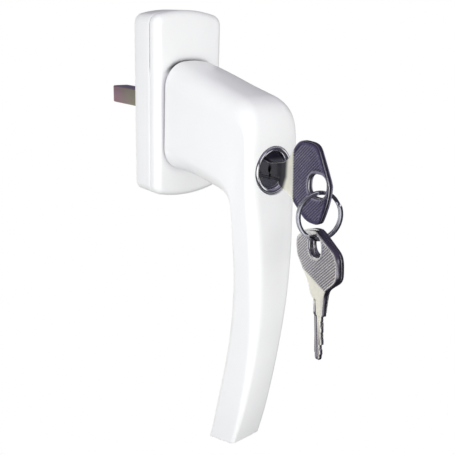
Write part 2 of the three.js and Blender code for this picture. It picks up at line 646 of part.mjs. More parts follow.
// ---------------------------------------------------------------- spare keys
const spareAzimuth = radians(SPARE_AZIMUTH);
const outward = vector(Math.sin(spareAzimuth), -Math.cos(spareAzimuth), 0);
const down = vector(0, 0, -1);
for (const { name, side, roll, wireAt } of SPARE_KEYS) {
  const [cos, sin] = [Math.cos(radians(roll)), Math.sin(radians(roll))];
  const across = outward.clone().multiplyScalar(cos).addScaledVector(down, sin);
  const along = down.clone().multiplyScalar(cos).addScaledVector(outward, -sin);
  const ringAngle = radians(-90 + side * SPARE_SPREAD);
  const wireR = RING_R - RING_WIRE / 2;
  const origin = ringCentre.clone()
    .addScaledVector(ringSide, wireR * Math.cos(ringAngle))
    .addScaledVector(ringUp, wireR * Math.sin(ringAngle))
    .addScaledVector(along, -wireAt[0])
    .addScaledVector(across, -wireAt[1]);
  orient(addMesh(name, keyGeometry(), NICKEL), along, across, origin);
}

const root = new THREE.Group();
root.add(assembly);
root.updateMatrixWorld(true);
export default root;
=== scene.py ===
"""Looks for a lockable window handle with a key in its lock and two spare keys on a split ring.

Sizes are in the handle's own millimetres: X is the width, Z is up, and y = 0 is the mounting face.
The handle stands out towards -Y with its grip hanging down, and the spindle runs back towards +Y.
row_frame() turns these into metres in the row frame.
"""
import math

import bmesh
import bpy
import numpy as np
from mathutils import Matrix, Vector, geometry


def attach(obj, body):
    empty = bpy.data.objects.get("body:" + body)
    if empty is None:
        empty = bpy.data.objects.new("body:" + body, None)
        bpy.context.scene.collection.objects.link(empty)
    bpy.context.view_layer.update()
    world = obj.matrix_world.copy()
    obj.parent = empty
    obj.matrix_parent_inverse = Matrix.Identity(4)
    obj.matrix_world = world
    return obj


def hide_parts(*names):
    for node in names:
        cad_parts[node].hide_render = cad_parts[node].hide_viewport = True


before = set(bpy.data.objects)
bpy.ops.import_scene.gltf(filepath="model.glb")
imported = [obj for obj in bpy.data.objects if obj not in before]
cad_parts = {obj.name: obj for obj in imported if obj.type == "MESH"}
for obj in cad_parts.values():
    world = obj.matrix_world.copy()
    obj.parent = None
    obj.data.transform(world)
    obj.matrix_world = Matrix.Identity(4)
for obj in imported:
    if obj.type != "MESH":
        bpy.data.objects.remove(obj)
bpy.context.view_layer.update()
MOUNTING_Y = -36.0  # mounting face in the row frame
QUARTER = math.pi / 2


# ---------------------------------------------------------------- meshes
def row_frame(points):
    moved = np.asarray(points, float).reshape(-1, 3).copy()
    moved[:, 1] += MOUNTING_Y
    return moved / 1000.0


def mesh_from(name, verts, faces):
    mesh = bpy.data.meshes.new(name)
    corners = [tuple(int(i) for i in face) for face in faces]
    mesh.from_pydata([tuple(v) for v in row_frame(verts)], [], corners)
    mesh.validate(clean_customdata=False)
    mesh.update()
    return mesh


def new_object(name, mesh):
    ob = bpy.data.objects.new(name, mesh)
    bpy.context.scene.collection.objects.link(ob)
    return ob


def new_piece(node, verts, faces):
    """The detailed object that stands in for a CAD node."""
    name = node + "_fine"
    return new_object(name, mesh_from(name, verts, faces))


def finish(ob, node, material, body, angle=32):
    mesh = ob.data
    mesh.materials.clear()
    mesh.materials.append(material)
    mesh.polygons.foreach_set("use_smooth", [True] * len(mesh.polygons))
    mesh.set_sharp_from_angle(angle=math.radians(angle))
    mesh.update()
    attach(ob, body)
    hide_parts(node)


# Solids are (verts, faces) pairs in own millimetres.
def outward(verts, faces):
    """Turn a closed mesh's faces outwards."""
    points = np.asarray(verts, float)
    volume = 0.0
    for face in faces:
        for k in range(1, len(face) - 1):
            cross = np.cross(points[face[k]], points[face[k + 1]])
            volume += np.dot(points[face[0]], cross)
    return [tuple(reversed(face)) for face in faces] if volume < 0 else faces


def skin(loops, closed=False):
    """Skin over equal loops: capped with a fan at each end, or closed from last to first."""
    size, count = len(loops[0]), len(loops)
    verts = [point for loop in loops for point in loop]
    faces = []
    for i in range(count if closed else count - 1):
        here, there = i * size, (i + 1) % count * size
        for j in range(size):
            k = (j + 1) % size
            faces.append((here + j, here + k, there + k, there + j))
    if not closed:
        for row in (0, count - 1):
            centre = len(verts)
            verts.append(tuple(np.mean(np.asarray(loops[row], float), axis=0)))
            for j in range(size):
                a, b = row * size + j, row * size + (j + 1) % size
                faces.append((centre, a, b) if row else (centre, b, a))
    return verts, outward(verts, faces)


def lathe(profile, seg=128, x=0.0, z=0.0):
    """Turn (radius, y) points about the Y line through (x, z).

    The profile starts and ends on the axis, or else closes on itself.
    """
    verts, faces, rows = [], [], []
    for radius, y in profile:
        if radius == 0:
            rows.append([len(verts)] * seg)
            verts.append((x, y, z))
            continue
        rows.append(list(range(len(verts), len(verts) + seg)))
        for j in range(seg):
            angle = 2 * math.pi * j / seg
            verts.append((x + radius * math.cos(angle), y, z + radius * math.sin(angle)))
    pairs = list(zip(rows[:-1], rows[1:]))
    if profile[0][0] != 0:
        pairs.append((rows[-1], rows[0]))
    for first, second in pairs:
        for j in range(seg):
            k = (j + 1) % seg
            quad = (first[j], first[k], second[k], second[j])
            faces.append(tuple(dict.fromkeys(quad)))  # a triangle where a row is one point
    return verts, outward(verts, faces)


def box(xs, ys, zs):
    verts = [(x, y, z) for x in xs for y in ys for z in zs]
    faces = [(0, 1, 3, 2), (4, 6, 7, 5), (0, 4, 5, 1), (2, 3, 7, 6), (0, 2, 6, 4), (1, 5, 7, 3)]
    return verts, outward(verts, faces)


def rod_y(radius, y0, y1, z=0.0, seg=96, x=0.0):
    return lathe([(0, y0), (radius, y0), (radius, y1), (0, y1)], seg, x, z)


def rod_x(radius, x0, x1, y):
    verts, faces = rod_y(radius, x0, x1, seg=48)
    verts = [(v[1], y + v[0], v[2]) for v in verts]
    return verts, outward(verts, faces)


def rod_z(radius, z0, z1, y):
    verts, faces = rod_y(radius, z0, z1, seg=48)
    verts = [(v[0], y + v[2], v[1]) for v in verts]
    return verts, outward(verts, faces)


def rounded_rectangle(half_u, half_v, radius, seg):
    points = []
    for u, v, start in ((1, 1, 0), (-1, 1, 90), (-1, -1, 180), (1, -1, 270)):
        for i in range(seg + 1):
            angle = math.radians(start + 90 * i / seg)
            points.append((u * (half_u - radius) + radius * math.cos(angle),
                           v * (half_v - radius) + radius * math.sin(angle)))
    return points


def discard(ob):
    mesh = ob.data
    bpy.data.objects.remove(ob)
    bpy.data.meshes.remove(mesh)


def boolean(ob, operation, solid):
    tool = new_object("tool", mesh_from("tool", *solid))
    modifier = ob.modifiers.new("b", "BOOLEAN")
    modifier.operation = operation
    modifier.solver = "EXACT"
    modifier.object = tool
    depsgraph = bpy.context.evaluated_depsgraph_get()
    result = bpy.data.meshes.new_from_object(ob.evaluated_get(depsgraph))
    ob.modifiers.clear()
    old = ob.data
    ob.data = result
    bpy.data.meshes.remove(old)
    discard(tool)


def cut(ob, *solids):
    for solid in solids:
        boolean(ob, "DIFFERENCE", solid)


def catmull_rom(points, i, u):
    """Curve point at fraction u between rows i and i + 1; the ends are extended straight."""
    last = len(points) - 1
    a = points[i - 1] if i else 2 * points[0] - points[1]
    b, c = points[i], points[i + 1]
    d = points[i + 2] if i + 2 <= last else 2 * points[last] - points[last - 1]
    return 0.5 * (2 * b + (c - a) * u + (2 * a - 5 * b + 4 * c - d) * u * u
                  + (3 * b - a - 3 * c + d) * u ** 3)


def rise(value, start, width):
    """Smooth step from 0 at start to 1 at start + width."""
    x = np.clip((value - start) / width, 0, 1)
    return x * x * (3 - 2 * x)


# ---------------------------------------------------------------- shader graphs
class Graph:
    def __init__(self, owner):
        owner.use_nodes = True
        self.tree = owner.node_tree
        self.tree.nodes.clear()
        self.coord_node = None

    def add(self, kind, **settings):
        node = self.tree.nodes.new(kind)
        for key, value in settings.items():
            setattr(node, key, value)
        return node

    def feed(self, value, socket):
        """Link an output to the socket, or set its value; a tuple is an RGB colour."""
        if isinstance(value, bpy.types.NodeSocket):
            self.tree.links.new(value, socket)
        else:
            socket.default_value = (*value, 1.0) if isinstance(value, tuple) else value

    def coord(self, output="Object"):
        self.coord_node = self.coord_node or self.add("ShaderNodeTexCoord")
        return self.coord_node.outputs[output]

    def ramp(self, value, low=0.3, high=0.7, to=(0.0, 1.0), smooth=False):
        """Map low..high to the range in to, clamped."""
        node = self.add("ShaderNodeMapRange", clamp=True)
        if smooth:
            node.interpolation_type = "SMOOTHSTEP"
        ends = {"Value": value, "From Min": low, "From Max": high, "To Min": to[0], "To Max": to[1]}
        for name, end in ends.items():
            self.feed(end, node.inputs[name])
        return node.outputs[0]

    def mix(self, factor, a, b, kind="RGBA"):
        node = self.add("ShaderNodeMix", data_type=kind)
        first, result = (6, 2) if kind == "RGBA" else (2, 0)
        self.feed(factor, node.inputs[0])
        self.feed(a, node.inputs[first])
        self.feed(b, node.inputs[first + 1])
        return node.outputs[result]


class Material(Graph):
    """A Principled material; textures use object coordinates, in metres."""

    def __init__(self, name):
        self.material = bpy.data.materials.new(name)
        super().__init__(self.material)
        self.output = self.add("ShaderNodeOutputMaterial")
        self.bsdf = self.add("ShaderNodeBsdfPrincipled")
        self.feed(self.bsdf.outputs[0], self.output.inputs["Surface"])

    def noise(self, scale=1.0, detail=3.0, rough=0.6, stretch=None, distortion=0.0):
        node = self.add("ShaderNodeTexNoise")
        vector = self.coord()
        if stretch:
            mapping = self.add("ShaderNodeMapping")
            mapping.inputs["Scale"].default_value = stretch
            self.feed(vector, mapping.inputs["Vector"])
            vector = mapping.outputs[0]
        self.feed(vector, node.inputs["Vector"])
        node.inputs["Scale"].default_value = scale
        node.inputs["Detail"].default_value = detail
        node.inputs["Roughness"].default_value = rough
        node.inputs["Distortion"].default_value = distortion
        return node.outputs["Fac"]

    def mottle(self, noise, a, b):
        return self.mix(self.ramp(noise), a, b)

    def math(self, operation, a, b):
        node = self.add("ShaderNodeMath", operation=operation)
        self.feed(a, node.inputs[0])
        self.feed(b, node.inputs[1])
        return node.outputs[0]

    def split(self, vector):
        node = self.add("ShaderNodeSeparateXYZ")
        self.feed(vector, node.inputs[0])
        return node.outputs

    def attribute(self, name):
        return self.add("ShaderNodeAttribute", attribute_name=name).outputs["Fac"]

    def bump(self, height, strength, distance):
        node = self.add("ShaderNodeBump")
        node.inputs["Strength"].default_value = strength
        node.inputs["Distance"].default_value = distance
        self.feed(height, node.inputs["Height"])
        self.feed(node.outputs[0], self.bsdf.inputs["Normal"])

    def set(self, **values):
        for key, value in values.items():
            self.feed(value, self.bsdf.inputs[key.replace("_", " ")])


# ---------------------------------------------------------------- materials
def powder_coat():
    """White paint, shaded in the creases."""
    m = Material("powder_coat")
    fine = m.noise(scale=900)
    broad = m.noise(scale=55, detail=2, rough=0.5)
    colour = m.mottle(broad, (0.905, 0.908, 0.893), (0.925, 0.928, 0.915))
    occlusion = m.add("ShaderNodeAmbientOcclusion", samples=8)
    occlusion.inputs["Distance"].default_value = 0.0035
    openness = occlusion.outputs["AO"]
    colour = m.mix(m.ramp(openness, low=0.30, high=0.92), (0.66, 0.65, 0.69), colour)
    colour = m.mix(m.ramp(openness, low=0.05, high=0.32), (0.10, 0.09, 0.12), colour)
    # painted shadow in the gap between the foot and the cover: creases above z = 12 to 15 mm are
    # darker still
    x, y, z = m.split(m.coord())
    high_up = m.ramp(z, low=0.0122, high=0.0148)
    gap = m.math("MULTIPLY", high_up, m.ramp(y, low=-0.0124, high=-0.0136))
    closed = m.math("SUBTRACT", 1.0, m.ramp(openness, low=0.56, high=0.74))
    gap = m.math("MULTIPLY", gap, closed)
    colour = m.mix(gap, colour, (0.03, 0.028, 0.04))
    roughness = m.ramp(fine, low=0.2, high=0.8, to=(0.30, 0.40))
    m.set(Base_Color=colour, Roughness=roughness, Specular_IOR_Level=0.45,
          Coat_Weight=0.12, Coat_Roughness=0.2)
    m.bump(fine, strength=0.05, distance=0.00006)
    return m.material


def metal(name, light, dark, rough, grain, bump=0.05):
    """Grainy metal; rough is the roughness range and grain the noise scale along X, Y and Z."""
    m = Material(name)
    grains = m.noise(stretch=grain)
    blotches = m.ramp(m.noise(scale=60), low=0.25, high=0.75, to=(0.5, 1.0))
    factor = m.ramp(m.math("MULTIPLY", grains, blotches), low=0.15, high=0.6)
    m.set(Base_Color=m.mix(factor, dark, light), Metallic=1.0,
          Roughness=m.ramp(grains, low=0.25, high=0.75, to=rough))
    m.bump(grains, strength=bump, distance=0.00004)
    return m.material


def polished(m, haze, colour, rough):
    """Near-mirror plating with a light haze."""
    m.set(Base_Color=colour, Metallic=1.0, Roughness=m.ramp(haze, to=rough))
    m.bump(m.noise(scale=700, detail=2, rough=0.5), strength=0.02, distance=0.00003)
    return m.material


def chrome():
    m = Material("chrome_plate")
    haze = m.noise(scale=260)
    colour = m.mottle(haze, (0.80, 0.81, 0.84), (0.88, 0.88, 0.90))
    return polished(m, haze, colour, rough=(0.06, 0.14))


def plug_metal():
    """Nickel, darker above z = -13 to -12 mm: a painted dark reflection on the upper part of the
    face.
    """
    m = Material("plug_nickel")
    haze = m.noise(scale=260)
    top = m.ramp(m.split(m.coord())[2], low=-0.0132, high=-0.0120)
    nickel = m.mix(haze, (0.74, 0.74, 0.76), (0.84, 0.84, 0.86))
    return polished(m, haze, m.mix(top, nickel, (0.20, 0.19, 0.24)), rough=(0.07, 0.15))


def key_metal():
    """Driven by point attributes: zone 0 = hatched bow and 1 = smooth cream shank, the cream partly
    a painted bright reflection; edge = painted highlight on rims and bevels; groove = painted shade
    in the hollows and on the side walls, with painted dark reflection on one face's band and down
    the blade; shade = painted dark reflection on the shank by the plug; painted_bow_shade = darker,
    bluer bow, a painted dark reflection."""
    m = Material("key_nickel")
    zone, edge, groove = m.attribute("zone"), m.attribute("edge"), m.attribute("groove")
    spots = m.noise(scale=420, detail=4, rough=0.65)
    tarnish = m.noise(scale=120)
    bow = m.mottle(tarnish, (0.58, 0.565, 0.55), (0.68, 0.665, 0.64))
    # painted dark reflection: the bow of the key in the lock is darker and bluer; then painted
    # shade in the hollows
    bow = m.mix(m.attribute("painted_bow_shade"), bow, (0.20, 0.19, 0.27))
    bow = m.mix(m.math("MULTIPLY", groove, 0.90), bow, (0.115, 0.10, 0.165))
    cream = m.mottle(spots, (0.93, 0.91, 0.76), (1.0, 0.975, 0.84))
    colour = m.mix(zone, bow, cream)
    # painted highlight on rims and bevels, then painted dark reflection on the shank by the plug
    colour = m.mix(m.math("MULTIPLY", edge, 0.6), colour, (0.93, 0.92, 0.90))
    colour = m.mix(m.attribute("shade"), colour, (0.060, 0.058, 0.066))
    bow_rough = m.ramp(spots, to=(0.24, 0.34))
    shank_rough = m.ramp(spots, to=(0.34, 0.46))
    m.set(Base_Color=colour, Metallic=m.mix(zone, 1.0, 0.55, kind="FLOAT"),
          Roughness=m.mix(zone, bow_rough, shank_rough, kind="FLOAT"))
    m.bump(spots, strength=0.12, distance=0.00005)
    return m.material


def spindle_metal():
    """Yellow passivated zinc: olive turning magenta towards the +Y tip; violet on top, a painted
    reflection of the violet ceiling.
    """
    m = Material("yellow_zinc")
    y = m.split(m.coord())[1]
    normal_z = m.split(m.add("ShaderNodeNewGeometry").outputs["Normal"])[2]
    drawn = m.noise(stretch=(500, 60, 500))
    film = m.noise(detail=2, rough=0.5, stretch=(120, 45, 120), distortion=0.4)
    olive = m.mottle(film, (0.36, 0.34, 0.22), (0.46, 0.43, 0.30))
    magenta = m.mottle(film, (0.42, 0.25, 0.31), (0.52, 0.35, 0.34))
    waver = m.math("MULTIPLY", m.math("SUBTRACT", film, 0.5), 0.012)
    tip = m.ramp(m.math("ADD", y, waver), low=-0.016, high=-0.001, smooth=True)
    side = m.mix(tip, olive, magenta)
    violet = m.mottle(film, (0.40, 0.33, 0.52), (0.56, 0.47, 0.62))
    m.set(Base_Color=m.mix(m.ramp(normal_z, low=0.4, high=0.8), side, violet), Metallic=0.85,
          Roughness=m.ramp(drawn, low=0.25, high=0.75, to=(0.26, 0.42)))
    m.bump(drawn, strength=0.10, distance=0.00005)
    return m.material


def nylon():
    m = Material("nylon")
    grain = m.noise(scale=300)
    m.set(Base_Color=m.mottle(grain, (0.80, 0.79, 0.74), (0.90, 0.89, 0.85)),
          Roughness=m.ramp(grain, to=(0.45, 0.6)), Subsurface_Weight=0.05, Subsurface_Scale=0.001)
    m.bump(grain, strength=0.05, distance=0.00005)
    return m.material


WHITE = powder_coat()
CHROME = chrome()
KEY = key_metal()
SPINDLE = spindle_metal()
ZINC = metal("zinc_steel", light=(0.70, 0.71, 0.74), dark=(0.52, 0.53, 0.57),
             rough=(0.22, 0.36), grain=(420, 420, 420))
SPRING = metal("spring_steel", light=(0.60, 0.61, 0.63), dark=(0.36, 0.37, 0.40),
               rough=(0.2, 0.32), grain=(700, 700, 700))
PLUG = plug_metal()
RING = metal("ring_steel", light=(0.64, 0.65, 0.70), dark=(0.42, 0.42, 0.50),
             rough=(0.07, 0.15), grain=(600, 600, 600), bump=0.03)
BRASS = metal("wafer_brass", light=(0.83, 0.68, 0.40), dark=(0.66, 0.50, 0.26),
              rough=(0.25, 0.4), grain=(500, 500, 500))
PLATE = metal("plate_zinc", light=(0.66, 0.67, 0.70), dark=(0.47, 0.48, 0.53),
              rough=(0.28, 0.45), grain=(60, 500, 500), bump=0.08)
NYLON = nylon()

CAD_MATERIALS = [
    (PLATE, ["back_plate"]),
    (NYLON, ["bearing_bush"]),
    (ZINC, ["detent_ball_upper", "detent_ball_lower", "spindle_roll_pin", "detent_ring",
            "lock_grub_screw", "drive_pin", "locking_slide", "key_in_lock",
            "spare_key_front", "spare_key_rear"]),
    (SPRING, ["detent_spring_upper", "detent_spring_lower", "wave_washer", "hub_circlip",
              "plug_circlip"] + [f"wafer_spring_{i}" for i in range(1, 6)]),
    (BRASS, [f"wafer_{i}" for i in range(1, 6)]),
    (WHITE, ["rosette_base", "rosette_cover", "handle_grip"]),
    (SPINDLE, ["square_spindle"]),
    (CHROME, ["lock_housing", "cylinder_plug"]),
    (RING, ["split_ring"]),
]
for material, names in CAD_MATERIALS:
    for name in names:
        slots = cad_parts[name].data.materials
        slots.clear()
        slots.append(material)

# ---------------------------------------------------------------- rosette
ROSETTE_WIDTH, ROSETTE_HEIGHT = 31.0, 70.0
ARCH_RISE = 2.4  # how far the curved top and bottom edges bulge
CORNER = 4.0
CORNER_SEG, ARCH_SEG, SIDE_SEG = 14, 22, 16  # steps per corner, half arch and half side

COVER_BACK = -10.0  # where the base ends and the cover starts
BASE_EDGE, BASE_EDGE_Y = 0.75, -9.05  # radius of the base's front edge and where it starts
COLLAR_RADIUS, COLLAR_FRONT = 10.0, -18.4
SCREW_Z = 21.5  # screw bosses above and below the centre
# (radius, y)
BOSS = [(0, -1.7), (5, -1.7), (5, 3.5), (4.85, 3.85), (4.5, 4.0), (0, 4.0)]
BOSS_HOLE = [(0, -11), (4.7, -11), (4.7, -7.8), (2.6, -7.8), (2.6, 3.6), (3.0, 4.1), (3.0, 5),
             (0, 5)]
# (inset, y) of the base's outline, from the mounting face forwards
BASE_SIDE = [(0.55, 0.0), (0.25, -0.08), (0.08, -0.25), (0, -0.55), (0, -3.2), (0, -6.2),
             (0, BASE_EDGE_Y)]

COVER_EDGE, COVER_EDGE_Y = 2.8, -11.5  # radius of the cover's front edge and where it starts
COVER_FRONT = COVER_EDGE_Y - COVER_EDGE
COVER_WALL = 1.9
COVER_INSIDE = -12.5  # y of the hollow's floor
COVER_SIDE = [(0.55, COVER_BACK), (0.2, -10.06), (0.04, -10.2), (0.0, -10.4), (0, -10.9),
              (0, COVER_EDGE_Y)]
COVER_BORE = [(10.75, -14.2), (10.58, -14.0), (10.5, -13.7), (10.5, COVER_BACK),
              (12.4, COVER_BACK), (12.4, COVER_INSIDE)]  # (radius, y), front to back, then in


def rosette(inset, y):
    """Rounded rectangle with arched top and bottom, counter-clockwise in X and Z."""
    half_width, half_height = ROSETTE_WIDTH / 2, ROSETTE_HEIGHT / 2
    arch_radius = (half_width ** 2 + ARCH_RISE ** 2) / (2 * ARCH_RISE)
    arch_z = half_height - arch_radius
    corner_x = half_width - CORNER
    drop = math.sqrt((arch_radius - CORNER) ** 2 - corner_x ** 2)
    corner_z = arch_z + drop
    meet = math.atan2(drop, corner_x)  # angle where the corner runs into the arch
    quarter = [(half_width - inset, corner_z * i / SIDE_SEG) for i in range(SIDE_SEG)]
    for i in range(CORNER_SEG + 1):
        angle = meet * i / CORNER_SEG
        quarter.append((corner_x + (CORNER - inset) * math.cos(angle),
                        corner_z + (CORNER - inset) * math.sin(angle)))
    for i in range(1, ARCH_SEG + 1):
        angle = meet + (QUARTER - meet) * i / ARCH_SEG
        quarter.append(((arch_radius - inset) * math.cos(angle),
                        arch_z + (arch_radius - inset) * math.sin(angle)))
    top = quarter + [(-x, z) for x, z in quarter[:-1][::-1]]
    bottom = [(-x, -z) for x, z in top]
    return [(x, y, z) for x, z in top[:-1] + bottom[:-1]]


def rosette_edge(radius, y, steps):
    """Loops round a front edge that starts at y."""
    angles = [i / steps * QUARTER for i in range(1, steps + 1)]
    return [rosette(radius * (1 - math.cos(a)), y - radius * math.sin(a)) for a in angles]


def round_loop(radius, y):
    """Circle with its points at the same angles as the rosette's."""
    angles = [math.atan2(z, x) for x, _, z in rosette(0, 0)]
    return [(radius * math.cos(a), y, radius * math.sin(a)) for a in angles]


def between_loops(first, second, fractions):
    return [[tuple(p + (q - p) * f for p, q in zip(u, v)) for u, v in zip(first, second)]
            for f in fractions]


def build_base():
    loops = [rosette(inset, y) for inset, y in BASE_SIDE]
    loops += rosette_edge(BASE_EDGE, BASE_EDGE_Y, 5)
    loops += [rosette(0.95, BASE_EDGE_Y - BASE_EDGE), rosette(0.95, COVER_BACK)]
    base = new_piece("rosette_base", *skin(loops))
    boolean(base, "UNION", rod_y(COLLAR_RADIUS, COLLAR_FRONT, -9))
    cut(base, skin([rosette(2.2, -1.2), rosette(2.2, 1)]))  # recess in the back
    for z in (SCREW_Z, -SCREW_Z):
        boolean(base, "UNION", lathe(BOSS, 96, z=z))
    narrow, wide, collar_ys = (-2.7, 2.7), (-11, 11), (-19.4, -14.9)
    cut(base,
        rod_y(10.6, -8, 1),  # bore behind the collar
        rod_y(8.3, -19.4, -7.5),  # bore of the collar
        rod_z(1.9, 9, 17.5, y=-5.4),  # pockets above and below the bore
        rod_z(1.9, -17.5, -9, y=-5.4),
        box(narrow, collar_ys, wide),  # crossed slots in the collar's front
        box(wide, collar_ys, narrow))
    cut(base, *[lathe(BOSS_HOLE, 72, z=z) for z in (SCREW_Z, -SCREW_Z)])
    finish(base, "rosette_base", WHITE, "rosette")


def build_cover():
    """Cap hollow behind, with a round bore for the collar; one closed sweep."""
    loops = [rosette(inset, y) for inset, y in COVER_SIDE]
    loops += rosette_edge(COVER_EDGE, COVER_EDGE_Y, 14)
    loops += between_loops(rosette(COVER_EDGE, COVER_FRONT), round_loop(11.1, COVER_FRONT),
                           (0.04, 0.15, 0.3, 0.45, 0.6, 0.75, 0.88, 1.0))
    bore = [round_loop(radius, y) for radius, y in COVER_BORE]
    loops += bore
    loops += between_loops(bore[-1], rosette(COVER_WALL, COVER_INSIDE), (0.35, 0.7, 1.0))
    loops.append(rosette(COVER_WALL, COVER_BACK))
    cover = new_piece("rosette_cover", *skin(loops, closed=True))
    finish(cover, "rosette_cover", WHITE, "cover")


# ---------------------------------------------------------------- handle
# Cross-sections from the foot, round the elbow, to the tip of the grip. The outer edge is on top
# at the foot and in front (-Y) down the grip. Columns: y and z of the outer edge, y and z of the
# inner edge, half width at the outer and inner edge, corner radius at the outer and inner edge.
STATIONS = np.array([
    [-15.5, 16.95, -14.6, -23.4, 12.6, 12.6, 9.3, 8.5],
    [-20.0, 16.3, -21.0, -23.4, 12.55, 12.55, 9.2, 8.5],
    [-26.0, 14.95, -28.0, -23.8, 12.5, 12.5, 9.0, 8.3],
    [-32.0, 13.4, -34.5, -24.7, 12.45, 12.4, 8.8, 8.0],
    [-38.0, 11.75, -39.8, -25.4, 12.4, 12.3, 8.5, 7.6],
    [-44.0, 10.15, -44.0, -26.1, 12.35, 12.1, 8.2, 7.2],
    [-49.8, 8.7, -47.2, -27.2, 12.3, 11.9, 7.8, 6.8],
    [-54.4, 7.3, -49.4, -28.9, 12.25, 11.6, 7.3, 6.4],
    [-57.9, 4.9, -50.5, -31.2, 12.2, 11.3, 6.7, 6.1],
    [-59.9, 1.2, -50.9, -33.8, 12.15, 11.05, 6.1, 5.8],
    [-60.8, -4.2, -51.05, -36.8, 12.1, 10.8, 5.6, 5.6],
    [-61.1, -12.0, -51.1, -40.2, 11.9, 10.5, 5.2, 5.4],
    [-61.5, -21.0, -51.05, -44.2, 11.55, 10.2, 5.0, 5.2],
    [-62.7, -30.0, -50.95, -48.8, 11.0, 9.85, 5.0, 5.0],
    [-63.9, -40.0, -50.75, -54.0, 10.4, 9.45, 4.9, 4.9],
    [-64.6, -50.0, -50.4, -60.0, 9.8, 9.05, 4.7, 4.7],
    [-64.7, -60.5, -49.8, -67.5, 9.15, 8.65, 4.4, 4.4],
    [-64.2, -71.0, -48.95, -76.0, 8.45, 8.2, 4.0, 4.0],
    [-63.0, -81.5, -47.7, -85.2, 7.9, 7.8, 3.5, 3.5],
    [-61.4, -92.0, -46.0, -95.0, 7.55, 7.5, 3.0, 3.0],
    [-59.4, -102.5, -43.9, -105.3, 7.35, 7.35, 2.6, 2.6],
    [-57.3, -112.0, -41.9, -115.2, 7.25, 7.25, 2.2, 2.2],
    [-55.2, -119.9, -40.2, -123.9, 7.2, 7.2, 1.9, 1.9],
    [-53.4, -125.8, -38.75, -129.8, 7.2, 7.2, 1.6, 1.6],
])
SECTION_COUNT = 200
CROWN = 0.22  # bulge of the outer face; the inner one bulges by 0.6 of it
CORNER_STEPS, FLAT_STEPS = 14, 8
FOOT_EDGE = [(0.8, 0.0), (0.45, -0.05), (0.2, -0.18), (0.05, -0.42)]  # (inset, y shift)
TIP_EDGE, TIP_LENGTH = 0.9, 0.62  # inset and reach of the rounded tip

LOCK_Z, LOCK_RIM = -16.2, -61.6  # axis of the lock, and y of the housing's front rim

# (radius, y)
HUB = [(0, -19.5), (7, -19.5), (7, -3.0), (6.3, -3.0), (6.3, -2.3), (7, -2.3), (7, -1.9),
       (6.7, -1.6), (0, -1.6)]
PIN_HOLE = rod_x(1.05, -9, 9, y=-12)  # across the hub and the spindle

SPINDLE_HALF, SPINDLE_CORNER, SPINDLE_TIP = 3.5, 0.42, 36.0
SPINDLE_ROUND = 1.25  # rounding of the tip


def station(t):
    """Cross-section row at t, from 0 at the foot to 1 at the tip."""
    spans = len(STATIONS) - 1
    place = t * spans
    i = min(int(place), spans - 1)
    return catmull_rom(STATIONS, i, place - i)


def section(row, inset=0.0, shift=(0.0, 0.0)):
    """Loop of a cross-section, drawn in x and the distance from the inner edge."""
    outer_y, outer_z, inner_y, inner_z, outer_half, inner_half, outer_r, inner_r = row
    length = math.hypot(outer_y - inner_y, outer_z - inner_z)
    dir_y, dir_z = (outer_y - inner_y) / length, (outer_z - inner_z) / length

    def corner(side, outer):
        radius = max((outer_r if outer else inner_r) - inset, 0.4)
        arc = []
        for i in range(CORNER_STEPS + 1):
            angle = i / CORNER_STEPS * QUARTER
            if outer:
                out = length - inset - radius + radius * math.sin(angle)
            else:
                out = inset + radius - radius * math.sin(angle)
            half = inner_half + (outer_half - inner_half) * out / length - inset
            arc.append((side * (half - radius + radius * math.cos(angle)), out))
        return arc

    def flat(start, end, crown):
        fractions = [i / FLAT_STEPS for i in range(1, FLAT_STEPS)]
        return [(start[0] + (end[0] - start[0]) * f,
                 start[1] + (end[1] - start[1]) * f + crown * 4 * f * (1 - f))
                for f in fractions]

    corners = [corner(1, True), corner(-1, True)[::-1],
               corner(-1, False), corner(1, False)[::-1]]
    points = []
    for i, crown in enumerate((CROWN, 0, -CROWN * 0.6, 0)):
        points += corners[i] + flat(corners[i][-1], corners[(i + 1) % 4][0], crown)
    return [(x, inner_y + dir_y * out + shift[0], inner_z + dir_z * out + shift[1])
            for x, out in points]


def grip_loops():
    loops = [section(station(0), inset, (y, 0.0)) for inset, y in FOOT_EDGE]
    for i in range(1, SECTION_COUNT + 1):
        row = station(i / SECTION_COUNT)
        if row[0] < -16.0:  # clear of the foot's edge loops
            loops.append(section(row))
    tip = station(1.0)
    change = tip - station(0.995)
    heading = np.array([change[0] + change[2], change[1] + change[3]])
    heading /= np.linalg.norm(heading)
    for i in range(1, 7):
        angle = i / 6 * QUARTER
        loops.append(section(tip, TIP_EDGE * (1 - math.cos(angle)),
                             tuple(heading * TIP_LENGTH * math.sin(angle))))
    loops.append(section(tip, 2.6, tuple(heading * 0.66)))
    return loops


def hub_solid():
    """The round hub behind the foot, with a flat on each side and a cross hole."""
    hub = new_object("hub", mesh_from("hub", *lathe(HUB, 96)))
    cut(hub, box((6.2, 9), (-7.9, 0), (-9, 9)), box((-9, -6.2), (-7.9, 0), (-9, 9)), PIN_HOLE)
    verts = [(v.co.x * 1000, v.co.y * 1000 - MOUNTING_Y, v.co.z * 1000)
             for v in hub.data.vertices]
    faces = [tuple(p.vertices) for p in hub.data.polygons]
    discard(hub)
    return verts, faces


def build_grip():
    grip = new_piece("handle_grip", *skin(grip_loops()))
    cut(grip,
        rod_y(10.4, -18.8, -14),  # recess over the collar
        box((-5.6, 5.6), (-38.9, -14), (-21.5, -8.2)),  # pocket behind the lock
        box((-2.8, 2.8), (-38.9, -14), (-14.5, -7.2)),  # its narrower top
        rod_y(6.95, -66, -38.7, LOCK_Z),  # lock bore
        rod_y(8.42, -66, LOCK_RIM + 1.25, LOCK_Z, seg=144),  # seat of the lock's rim
        rod_z(2.1, -32, -22.6, y=-45.3))  # hole up into the lock bore
    boolean(grip, "UNION", hub_solid())
    cut(grip, box((-3.6, 3.6), (-32.6, 0), (-3.6, 3.6)))  # square hole for the spindle
    finish(grip, "handle_grip", WHITE, "handle", 30)


